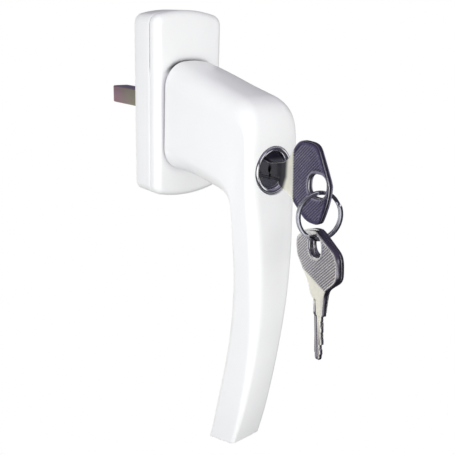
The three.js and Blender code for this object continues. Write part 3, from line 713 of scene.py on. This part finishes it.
def build_spindle():
    def square(half, corner, y):
        return [(x, y, z) for x, z in rounded_rectangle(half, half, corner, 6)]

    loops = [square(2.9, 0.4, -32.0)]
    loops += [square(SPINDLE_HALF, SPINDLE_CORNER, y) for y in np.linspace(-31.5, 34.4, 60)]
    for i in range(1, 9):
        angle = i / 8 * QUARTER
        loops.append(square(SPINDLE_HALF - SPINDLE_ROUND * (1 - math.cos(angle)),
                            SPINDLE_CORNER + 0.5 * i / 8,
                            SPINDLE_TIP - SPINDLE_ROUND + SPINDLE_ROUND * math.sin(angle)))
    loops.append(square(1.6, 0.8, SPINDLE_TIP))
    spindle = new_piece("square_spindle", *skin(loops))
    cut(spindle, PIN_HOLE)
    finish(spindle, "square_spindle", SPINDLE, "handle", 40)


# ---------------------------------------------------------------- lock
# (radius, depth behind the rim)
HOUSING = [
    (6.8, 20.1), (6.5, 20.4), (5.1, 20.4), (5.1, 2.2), (6.42, 2.2), (6.42, 1.15),
    # rounded rim
    (6.5, 0.84), (6.63, 0.56), (6.8, 0.34), (7.0, 0.17), (7.2, 0.06), (7.4, 0.01), (7.56, 0.02),
    (7.72, 0.08), (7.87, 0.18), (8.0, 0.33), (8.1, 0.53), (8.17, 0.76), (8.2, 1.0),
    (8.2, 1.15), (6.8, 1.15),
]
PLUG_PROFILE = [
    (0, 1.44), (5.3, 1.44), (5.75, 1.40), (6.05, 1.42), (6.22, 1.52), (6.3, 1.70), (6.3, 2.08),
    (5, 2.08), (5, 20.5), (4.2, 20.5), (4.2, 20.95), (3.6, 20.95), (3.6, 21.65), (4.2, 21.65),
    (4.2, 23.1), (0, 23.1),
]
WAFER_DEPTH, WAFER_PITCH, WAFER_COUNT = 3.9, 3.0, 5
KEYWAY_HALF, KEYWAY_BOTTOM = 1.15, -3.15
DRIVE_PIN_OFFSET = 2.12  # from the lock's axis, down to the right at 45 degrees


def lock_lathe(profile, seg):
    return lathe([(radius, LOCK_RIM + depth) for radius, depth in profile], seg, z=LOCK_Z)


def lock_box(xs, depths, zs):
    return box(xs, [LOCK_RIM + d for d in depths], [LOCK_Z + z for z in zs])


def build_housing():
    housing = new_piece("lock_housing", *lock_lathe(HOUSING, 160))
    finish(housing, "lock_housing", CHROME, "handle", 40)


def build_plug():
    plug = new_piece("cylinder_plug", *lock_lathe(PLUG_PROFILE, 144))
    keyway = (-KEYWAY_HALF, KEYWAY_HALF)
    cut(plug, lock_box(keyway, (-0.7, 19.4), (KEYWAY_BOTTOM, 2.4)),
        lock_box(keyway, (-0.7, 3.2), (KEYWAY_BOTTOM, 2.8)))
    for i in range(WAFER_COUNT):
        depth = WAFER_DEPTH + i * WAFER_PITCH
        cut(plug, lock_box((-2.6, 2.6), (depth - 0.5, depth + 0.5), (-6, 6)),
            lock_box((2.5, 4.05), (depth - 0.62, depth + 0.62), (-1.9, 1.9)))
    aside = DRIVE_PIN_OFFSET * math.cos(math.pi / 4)
    cut(plug, rod_y(1.75, LOCK_RIM + 0.3, LOCK_RIM + 2.55, LOCK_Z + 0.5, seg=48),
        rod_y(0.97, LOCK_RIM + 21.0, LOCK_RIM + 24.3, LOCK_Z - aside, seg=24, x=aside))
    finish(plug, "cylinder_plug", PLUG, "plug", 30)


# ---------------------------------------------------------------- keys
# A key is drawn in (along, across): along runs from the bow's end to the blade's tip.
BOW_THICK, BLADE_THICK = 2.0, 1.3
SHOULDER = 28.1
HOLE_CENTRE, HOLE_RADII = (5.4, -0.4), (3.6, 3.8)
BOW_PLUS = np.array([  # edge on the side of the bits (+across)
    [0.4, 0.2], [0.9, 1.6], [1.6, 3.1], [2.6, 5.2], [3.7, 7.4], [4.7, 9.4], [5.5, 10.9],
    [6.6, 12.2], [8.2, 12.9], [10.2, 13.1], [12.6, 13.1], [14.2, 12.6], [15.5, 11.5],
    [16.8, 9.6], [18.2, 7.2], [19.6, 5.5], [21.2, 4.6], [24.0, 3.9], [26.4, 3.4],
])
BOW_MINUS = np.array([  # edge on the plain side
    [0.4, -1.4], [0.55, -3.0], [0.9, -5.0], [1.4, -7.0], [2.1, -9.2], [2.8, -11.2],
    [3.5, -12.4], [4.7, -13.05], [6.4, -13.2], [8.5, -13.0], [10.3, -12.3], [11.8, -11.1],
    [13.4, -9.7], [15.2, -8.1], [17.0, -6.4], [18.6, -5.2], [20.2, -4.6], [21.6, -4.1],
])
BLADE_BACK = [[22.75, -3.0], [22.9, -2.3], [42.7, -2.3], [43.1, -2.15], [43.45, -1.6]]
BITS = [  # from the tip back to the shoulder
    [43.4, -0.3], [42.8, 0.3], [41.7, 0.5], [41.2, 0.9], [39.9, 0.9], [39.4, 0.6], [38.0, 0.6],
    [37.7, 1.8], [36.0, 1.8], [35.4, 1.5], [34.0, 1.5], [33.4, 1.9], [32.0, 1.9], [31.4, 1.55],
    [30.2, 1.55], [29.6, 1.9], [28.2, 1.9], [27.95, 3.1], [27.6, 3.25],
]
# Each face, by the sign of its thickness direction. hatch: direction across the hatch lines;
# zone, slant: where the hatching gives way to the smooth shank and how that line leans;
# margin: plain band inside the outline; power: sharpness of the hatch wave
FACES = {
    1: dict(hatch=np.array([0.854, 0.520]), pitch=0.82, zone=17.0, slant=0.36,
            margin=0.65, power=1.4),
    -1: dict(hatch=np.array([0.727, 0.686]), pitch=0.78, zone=15.9, slant=0.06,
             margin=1.2, power=1.0),
}
LINE_STEP = 0.62  # point spacing along the hatch lines; across them it is a quarter pitch
BLADE_ROWS = (-1.5, -1.34, -1.0, -0.66, -0.5, 0.1, 0.7, 1.3, 1.9, 2.5)
SHOULDER_COLUMNS = (27.75, 27.95, 28.2, 28.4)
HATCH_DEPTH, HOLE_RIM_HEIGHT, FIELD_DEPTH, GROOVE_DEPTH = 0.11, 0.07, 0.05, 0.30


def spline(points, per_span=5):
    curve = [catmull_rom(points, i, k / per_span)
             for i in range(len(points) - 1) for k in range(per_span)]
    return np.array(curve + [points[-1]])


def resample(loop, step):
    points = []
    for start, end in zip(loop, np.roll(loop, -1, 0)):
        count = max(1, int(np.linalg.norm(end - start) / step + 0.5))
        points += [start + (end - start) * j / count for j in range(count)]
    return np.array(points)


def offset(loop, distance):
    """Move a loop to its left: inwards when it is counter-clockwise."""
    before, after = loop - np.roll(loop, 1, 0), np.roll(loop, -1, 0) - loop
    before /= np.linalg.norm(before, axis=1)[:, None]
    after /= np.linalg.norm(after, axis=1)[:, None]
    normal = np.stack([-before[:, 1], before[:, 0]], 1)
    bisector = normal + np.stack([-after[:, 1], after[:, 0]], 1)
    bisector /= np.maximum(np.linalg.norm(bisector, axis=1), 1e-9)[:, None]
    cosine = np.clip((bisector * normal).sum(1), 0.6, 1.0)
    return loop + bisector * (distance / cosine)[:, None]


def inside(points, loop):
    x, y = points[:, 0], points[:, 1]
    result = np.zeros(len(points), bool)
    for a, b in zip(loop, np.roll(loop, -1, 0)):
        crosses = (a[1] > y) != (b[1] > y)
        with np.errstate(divide="ignore", invalid="ignore"):
            cross_x = (b[0] - a[0]) * (y - a[1]) / (b[1] - a[1]) + a[0]
        result ^= crosses & (x < cross_x)
    return result


def distance_to(points, loop):
    best = np.full(len(points), 1e9)
    for start, end in zip(loop, np.roll(loop, -1, 0)):
        edge = end - start
        t = np.clip(((points - start) @ edge) / max(edge @ edge, 1e-12), 0, 1)
        gap = points - (start + t[:, None] * edge)
        best = np.minimum(best, np.sqrt((gap * gap).sum(1)))
    return best


def key_outline():
    """Counter-clockwise outline of the whole key."""
    outline = np.concatenate([spline(BOW_MINUS), np.array(BLADE_BACK), np.array(BITS),
                              spline(BOW_PLUS)[::-1]])
    outline = resample(outline, 0.5)
    keep = [0]
    for i in range(1, len(outline)):
        if np.linalg.norm(outline[i] - outline[keep[-1]]) > 0.08:
            keep.append(i)
    return outline[keep]


def key_hole():
    """Squarish oval hole in the bow, clockwise so that offset() goes into the metal."""
    angles = np.linspace(0, 2 * math.pi, 72, endpoint=False)
    axes = [centre + radius * np.sign(wave) * np.abs(wave) ** 0.8 for centre, radius, wave
            in zip(HOLE_CENTRE, HOLE_RADII, (np.cos(angles), np.sin(angles)))]
    return np.stack(axes, 1)[::-1]


def half_thickness(points):
    step = rise(points[:, 0], 27.85, 0.45)
    return BOW_THICK / 2 + (BLADE_THICK - BOW_THICK) / 2 * step


def shank_zone(points, side):
    face = FACES[side]
    return rise(points[:, 0] - face["slant"] * points[:, 1], face["zone"], 0.35)


def triangulate_face(side, rim, hole_rim):
    """Mesh a face with rows of points along its hatching on the bow and a grid on the blade.

    Returns the points, the triangles and the indices of the two rims.
    """
    hatch, pitch = FACES[side]["hatch"], FACES[side]["pitch"]
    line = np.array([-hatch[1], hatch[0]])
    bow = np.array([hatch * (k * pitch / 4) + line * (j * LINE_STEP)
                    for k in range(-90, 150) for j in range(-50, 51)])
    bow = bow[(bow[:, 0] > -1) & (bow[:, 0] < 21.5) & (np.abs(bow[:, 1]) < 14)]
    blade = [(x, y) for x in np.arange(21.7, 43.4, 0.45) for y in BLADE_ROWS]
    blade += [(x, y) for y in np.arange(-2.1, 3.2, 0.35) for x in SHOULDER_COLUMNS]
    points = np.concatenate([bow, np.array(blade)])
    points = points[inside(points, rim) & ~inside(points, hole_rim)]
    clear = (distance_to(points, rim) > 0.12) & (distance_to(points, hole_rim) > 0.12)
    points = np.concatenate([rim, hole_rim, points[clear]])
    count, hole_count = len(rim), len(hole_rim)
    edges = [(i, (i + 1) % count) for i in range(count)]
    edges += [(count + i, count + (i + 1) % hole_count) for i in range(hole_count)]
    flat, _, triangles, sources, _, _ = geometry.delaunay_2d_cdt(
        [Vector(v) for v in points], edges, [], 1, 1e-6)
    flat = np.array([[v.x, v.y] for v in flat])
    centres = np.array([flat[list(t)].mean(0) for t in triangles])
    kept = inside(centres, rim) & ~inside(centres, hole_rim)
    triangles = [tuple(t) for t, keep in zip(triangles, kept) if keep]
    index = {k: i for i, source in enumerate(sources) for k in source}
    rims = np.array([index[i] for i in range(count + hole_count)])
    return flat, triangles, rims[:count], rims[count:]


def face_relief(points, side, outline, hole, in_lock):
    """Height and the zone, edge and groove values of a face's points."""
    along, across = points[:, 0], points[:, 1]
    face = FACES[side]
    margin = face["margin"]
    from_edge, from_hole = distance_to(points, outline), distance_to(points, hole)
    zone = shank_zone(points, side)
    hatched = 1 - zone
    wave = 0.5 - 0.5 * np.cos(2 * math.pi * (points @ face["hatch"]) / face["pitch"])
    hole_rim = rise(from_hole, 0.3, 0.25) * (1 - rise(from_hole, 0.95, 0.25))
    # long groove down the blade
    groove = rise(across, -1.5, 0.2) * (1 - rise(across, -0.66, 0.2)) * rise(along, 22.3, 1.2)
    past_margin = rise(from_edge, margin, 0.25)
    valleys = wave ** face["power"] * past_margin * rise(from_hole, 1.0, 0.25) * hatched
    sunk = rise(from_edge, margin - 0.1, 0.2) * hatched * (1 - hole_rim)
    height = (half_thickness(points) - HATCH_DEPTH * valleys + HOLE_RIM_HEIGHT * hole_rim
              - FIELD_DEPTH * sunk - GROOVE_DEPTH * groove)
    # less of the cream's painted bright reflection below the groove, in it and towards the tip
    zone = zone * (1 - 0.9 * rise(-across, 0.2, 0.3) * rise(along, 23.5, 2)) * (1 - 0.8 * groove)
    # painted dark reflection: the key in the lock loses the cream past 21 mm along, a hanging key's
    # cream fades towards the tip
    if in_lock:
        zone = zone * (1 - rise(along, 21.0, 1.6))
    else:
        zone = zone * (1 - 0.75 * rise(along, 29.0, 9.0))
    # painted highlight and painted dark reflection: the plain band round the hatching is bright on
    # one face and dark on the other
    band = (1 - past_margin) * hatched
    # painted highlight on the raised rim round the hole
    edge = 0.5 * hole_rim
    # painted shade in the hatch valleys and the groove, and a painted dark reflection down the
    # blade
    dark = np.maximum(np.maximum(valleys, groove), 0.62 * rise(along, 25.5, 3.0))
    if side > 0:
        edge = edge + 0.35 * band
    else:
        dark = np.maximum(dark, band)
    return height, zone, edge, dark


def strip(first, second, side=1):
    """Quads between two closed rows of indices."""
    quads = []
    for i in range(len(first)):
        j = (i + 1) % len(first)
        quads.append((first[i], second[i], second[j], first[j])[::side])
    return quads


def build_key(node, body, origin, along_dir, across_dir, thick_dir, in_lock=False):
    outline, hole = key_outline(), key_hole()
    bevel = np.where(outline[:, 0] > SHOULDER - 0.3, 0.12, 0.26)
    rim = outline + (offset(outline, 1.0) - outline) * bevel[:, None]
    edge_loop = offset(outline, 0.10)
    hole_edge, hole_rim = offset(hole, 0.14), offset(hole, 0.42)
    chunks, faces, edge_rows, walls = [], [], [], []

    def add(points, height, zone=0.0, edge=0.0, groove=0.0):
        start = sum(len(chunk) for chunk in chunks)
        columns = (points[:, 0], points[:, 1], height, zone, edge, groove)
        chunks.append(np.stack([np.broadcast_to(c, len(points)) for c in columns], 1))
        return np.arange(start, start + len(points))

    for side in (1, -1):
        flat, triangles, rim_at, hole_at = triangulate_face(side, rim, hole_rim)
        height, *looks = face_relief(flat, side, outline, hole, in_lock)
        top = add(flat, side * height, *looks)
        faces += [tuple(top[i] for i in t[::side]) for t in triangles]
        # loops stepping down from the face to the side walls; the bevel rows carry a painted
        # highlight (edge) and the walls painted shade (groove)
        edge_row = add(edge_loop, side * (half_thickness(edge_loop) - 0.10),
                       zone=shank_zone(edge_loop, side), edge=0.9)
        wall = add(outline, side * (half_thickness(outline) - 0.24), groove=0.9)
        hole_row = add(hole_edge, side * (half_thickness(hole_edge) - 0.12), edge=0.8)
        hole_wall = add(hole, side * (half_thickness(hole) - 0.40), groove=0.5)
        faces += strip(top[rim_at], edge_row, side) + strip(edge_row, wall, side)
        faces += strip(top[hole_at], hole_row, side) + strip(hole_row, hole_wall, side)
        edge_rows += list(edge_row)
        walls.append((wall, hole_wall))
    for upper, lower in zip(*walls):
        faces += strip(upper, lower)

    along, across, height, zone, edge, groove = np.concatenate(chunks).T
    origin, along_dir, across_dir, thick_dir = map(
        np.array, (origin, along_dir, across_dir, thick_dir))
    ob = new_piece(node, origin + along[:, None] * along_dir + across[:, None] * across_dir
                   + height[:, None] * thick_dir, faces)
    shade = np.zeros(len(along))
    # painted dark reflection on the shank of the key in the lock, near the plug
    if in_lock:
        shade = rise(along + 0.3 * np.minimum(across, 0.0), 18.3, 1.7)
        # the edge on the +across side stays brighter: a painted highlight line along the shank's
        # top
        shade[[k for k in edge_rows if across[k] > 0]] *= 0.2
    # the key in the lock gets a darker, bluer bow: a painted dark reflection
    painted_bow_shade = np.full(len(along), 0.70 if in_lock else 0.0)
    mesh = ob.data
    for name, values in (("zone", zone), ("edge", edge), ("groove", groove),
                         ("shade", shade), ("painted_bow_shade", painted_bow_shade)):
        attribute = mesh.attributes.new(name, "FLOAT", "POINT")
        attribute.data.foreach_set("value", np.array(values, np.float32))
    bm = bmesh.new()
    bm.from_mesh(mesh)
    bmesh.ops.recalc_face_normals(bm, faces=bm.faces)
    bm.to_mesh(mesh)
    bm.free()
    finish(ob, node, KEY, body, 50)


# ---------------------------------------------------------------- split ring and spare keys
RING_CENTRE = np.array([-0.36, -83.35, -26.9])
RING_TURN, RING_TILT = math.radians(-21.8), math.radians(6.2)
RING_RIGHT = np.array([math.cos(RING_TURN), math.sin(RING_TURN), 0.0])
RING_UP = np.array([-math.sin(RING_TURN) * math.sin(RING_TILT),
                    math.cos(RING_TURN) * math.sin(RING_TILT), math.cos(RING_TILT)])
RING_AXIS = np.cross(RING_RIGHT, RING_UP)
RING_AXIS /= np.linalg.norm(RING_AXIS)
RING_OUTER, RING_WIRE = 8.2, 1.3
RING_MEAN = RING_OUTER - RING_WIRE / 2
COIL_START, COIL_SWEEP = 68.0, 678.0  # degrees
STEP_START, STEP_SWEEP = 392.0, 32.0  # where the wire steps over to the other layer
LAYER_GAP = 0.75
WIRE_HALF_RADIAL, WIRE_HALF_AXIAL, WIRE_CORNER = 0.62, 0.345, 0.16
COIL_STEPS = 300
END_TAPER = (0.55, 0.85, 0.97)  # size of the last three sections at each end

SPARE_TURN = math.radians(-19)
SPARE_SPREAD = 8.8  # degrees round the ring from its lowest point to each spare key
SPARE_KEYS = [  # node, body, side of the lowest point, roll in degrees, (along, across) on the wire
    ("spare_key_front", "spare_front", -1, -10, (3.2, -1.2)),
    ("spare_key_rear", "spare_rear", 1, -6, (3.2, 0.8)),
]


def ring_radial(degrees):
    angle = math.radians(degrees)
    return RING_RIGHT * math.cos(angle) + RING_UP * math.sin(angle)


def build_spare_keys():
    outwards = np.array([math.sin(SPARE_TURN), -math.cos(SPARE_TURN), 0.0])
    down = np.array([0, 0, -1.0])
    for node, body, side, roll, (along, across) in SPARE_KEYS:
        roll = math.radians(roll)
        across_dir = outwards * math.cos(roll) + down * math.sin(roll)
        along_dir = down * math.cos(roll) - outwards * math.sin(roll)
        contact = RING_CENTRE + ring_radial(-90 + side * SPARE_SPREAD) * RING_MEAN
        build_key(node, body, contact - along_dir * along - across_dir * across,
                  along_dir, across_dir, np.cross(along_dir, across_dir))


def build_ring():
    """Nearly two turns of flat wire, stepping from one layer to the other."""
    wire = rounded_rectangle(WIRE_HALF_RADIAL, WIRE_HALF_AXIAL, WIRE_CORNER, 3)
    loops = []
    for i in range(COIL_STEPS + 1):
        angle = COIL_START + COIL_SWEEP * i / COIL_STEPS
        axial = LAYER_GAP * (rise(angle, STEP_START, STEP_SWEEP) - 0.5)
        radial = ring_radial(angle)
        from_end = min(i, COIL_STEPS - i)
        size = END_TAPER[from_end] if from_end < len(END_TAPER) else 1.0
        loops.append([tuple(RING_CENTRE + radial * (RING_MEAN + u * size)
                            + RING_AXIS * (axial + v * size)) for u, v in wire])
    ring = new_piece("split_ring", *skin(loops))
    finish(ring, "split_ring", RING, "key_ring", 50)


# ---------------------------------------------------------------- studio
FLOOR_HALF, FLOOR_Z = 3, -0.16  # metres
# World light by direction: direction, cosine where it starts, cosine where it is full, colour
DIFFUSE_BASE = (0.78, 0.79, 0.78)
DIFFUSE_PATCHES = [
    ((0, 0, 1), 0.10, 0.95, (0.50, 0.49, 0.55)),  # dim violet ceiling
    ((0, -0.3, -1), 0.30, 0.95, (0.50, 0.52, 0.55)),  # below
    ((1, 0.15, 0), 0.25, 0.95, (0.44, 0.42, 0.52)),  # shaded right side
]
GLOSS_BASE = (0.055, 0.055, 0.07)
GLOSS_PATCHES = [
    ((0, 0, 1), 0.3, 0.8, (0.22, 0.20, 0.28)),  # ceiling
    ((-0.63, 0.72, -0.3), 0.90, 0.98, (0.55, 0.54, 0.69)),  # behind left
    ((0.15, 0.97, -0.25), 0.84, 0.96, (1.05, 1.02, 0.93)),  # behind
    ((-0.75, -0.60, -0.05), 0.88, 0.94, (1.3, 1.3, 1.3)),  # front left
    ((0.90, -0.16, -0.16), 0.86, 0.94, (1.1, 1.1, 1.1)),  # right
    ((0.05, -0.92, 0.38), 0.955, 0.985, (1.4, 1.4, 1.4)),  # front, high
    ((-0.30, -0.90, -0.28), 0.90, 0.96, (1.2, 1.2, 1.2)),  # front, low
]
CAMERA_YAW, CAMERA_PITCH, CAMERA_ROLL = map(math.radians, (-41.21036, 17.55225, 1.74567))
CAMERA_AIM, CAMERA_DISTANCE = (16.02006, -20.0, -50.16335), 277.06267  # own millimetres


def build_floor():
    """Floor that looks plain white to the camera and bounces grey light."""
    floor = new_object("floor", bpy.data.meshes.new("floor"))
    corners = [(-1, -1), (1, -1), (1, 1), (-1, 1)]
    floor.data.from_pydata([(x * FLOOR_HALF, y * FLOOR_HALF, FLOOR_Z) for x, y in corners],
                           [], [(0, 1, 2, 3)])
    m = Material("floor_white")
    rays = m.add("ShaderNodeLightPath")
    emission = m.add("ShaderNodeEmission")
    m.feed((1, 1, 1), emission.inputs["Color"])
    m.feed(1.0, emission.inputs["Strength"])
    m.set(Base_Color=(0.42, 0.42, 0.42), Roughness=0.8)
    mixer = m.add("ShaderNodeMixShader")
    m.feed(rays.outputs["Is Camera Ray"], mixer.inputs[0])
    m.feed(m.bsdf.outputs[0], mixer.inputs[1])
    m.feed(emission.outputs[0], mixer.inputs[2])
    m.feed(mixer.outputs[0], m.output.inputs["Surface"])
    floor.data.materials.append(m.material)
    floor.visible_glossy = False


def build_world():
    """Separate surroundings for diffuse light, reflections and the white backdrop."""
    world = bpy.data.worlds.new("studio")
    scene.world = world
    graph = Graph(world)
    output = graph.add("ShaderNodeOutputWorld")
    background = graph.add("ShaderNodeBackground")
    graph.feed(background.outputs[0], output.inputs[0])
    rays = graph.add("ShaderNodeLightPath")

    def surroundings(colour, patches):
        for direction, start, full, patch in patches:
            dot = graph.add("ShaderNodeVectorMath", operation="DOT_PRODUCT")
            graph.feed(graph.coord("Generated"), dot.inputs[0])
            dot.inputs[1].default_value = Vector(direction).normalized()
            near = graph.ramp(dot.outputs["Value"], low=start, high=full, smooth=True)
            colour = graph.mix(near, colour, patch)
        return colour

    diffuse = surroundings(DIFFUSE_BASE, DIFFUSE_PATCHES)
    gloss = surroundings(GLOSS_BASE, GLOSS_PATCHES)
    seen = graph.mix(rays.outputs["Is Glossy Ray"], diffuse, gloss)
    seen = graph.mix(rays.outputs["Is Camera Ray"], seen, (1.0, 1.0, 1.0))
    graph.feed(seen, background.inputs["Color"])
    graph.feed(1.0, background.inputs["Strength"])


def area_light(name, location, target, size, energy, colour):
    """Shadowless square light with no highlights; metres and watts."""
    light = bpy.data.lights.new(name, "AREA")
    light.shape = "SQUARE"
    light.size = size
    light.energy = energy
    light.color = colour
    light.specular_factor = 0.0
    light.use_shadow = False
    ob = new_object(name, light)
    ob.location = location
    aim = Vector(target) - Vector(location)
    ob.rotation_euler = aim.to_track_quat("-Z", "Y").to_euler()
    ob.visible_camera = False
    ob.visible_glossy = False


def build_camera():
    """In front, to the left and slightly above, rolled about its view axis."""
    back = Vector((math.sin(CAMERA_YAW) * math.cos(CAMERA_PITCH),
                   -math.cos(CAMERA_YAW) * math.cos(CAMERA_PITCH), math.sin(CAMERA_PITCH)))
    level = Vector((math.cos(CAMERA_YAW), math.sin(CAMERA_YAW), 0))
    upright = back.cross(level)
    right = level * math.cos(CAMERA_ROLL) + upright * math.sin(CAMERA_ROLL)
    up = upright * math.cos(CAMERA_ROLL) - level * math.sin(CAMERA_ROLL)
    centre = Vector(CAMERA_AIM) + back * CAMERA_DISTANCE
    centre.y += MOUNTING_Y
    camera = bpy.data.cameras.new("camera")
    camera.sensor_width = 36.0
    camera.lens = 52.929021
    camera.clip_start = 0.005
    ob = new_object("camera", camera)
    turn = Matrix((right, up, back)).transposed().to_4x4()
    ob.matrix_world = Matrix.Translation(centre / 1000) @ turn
    scene.camera = ob


build_base()
build_cover()
build_grip()
build_spindle()
build_housing()
build_plug()
build_key("key_in_lock", "key", origin=(0, -87.4, -16.9), along_dir=(0, 1, 0),
          across_dir=(0, 0, 1), thick_dir=(1, 0, 0), in_lock=True)
build_spare_keys()
build_ring()

scene = bpy.context.scene
scene.view_settings.view_transform = "Standard"
scene.view_settings.look = "None"
scene.view_settings.exposure = 0.0
scene.cycles.use_denoising = True
build_floor()
build_world()
area_light("left_card", location=(-0.42, -0.27, -0.01), target=(0, -0.09, -0.05),
           size=0.3, energy=1.27, colour=(0.975, 0.985, 1.0))
area_light("front_card", location=(0.0, -0.50, -0.01), target=(0, -0.06, -0.06),
           size=0.25, energy=0.56, colour=(1.0, 1.0, 0.98))
build_camera()
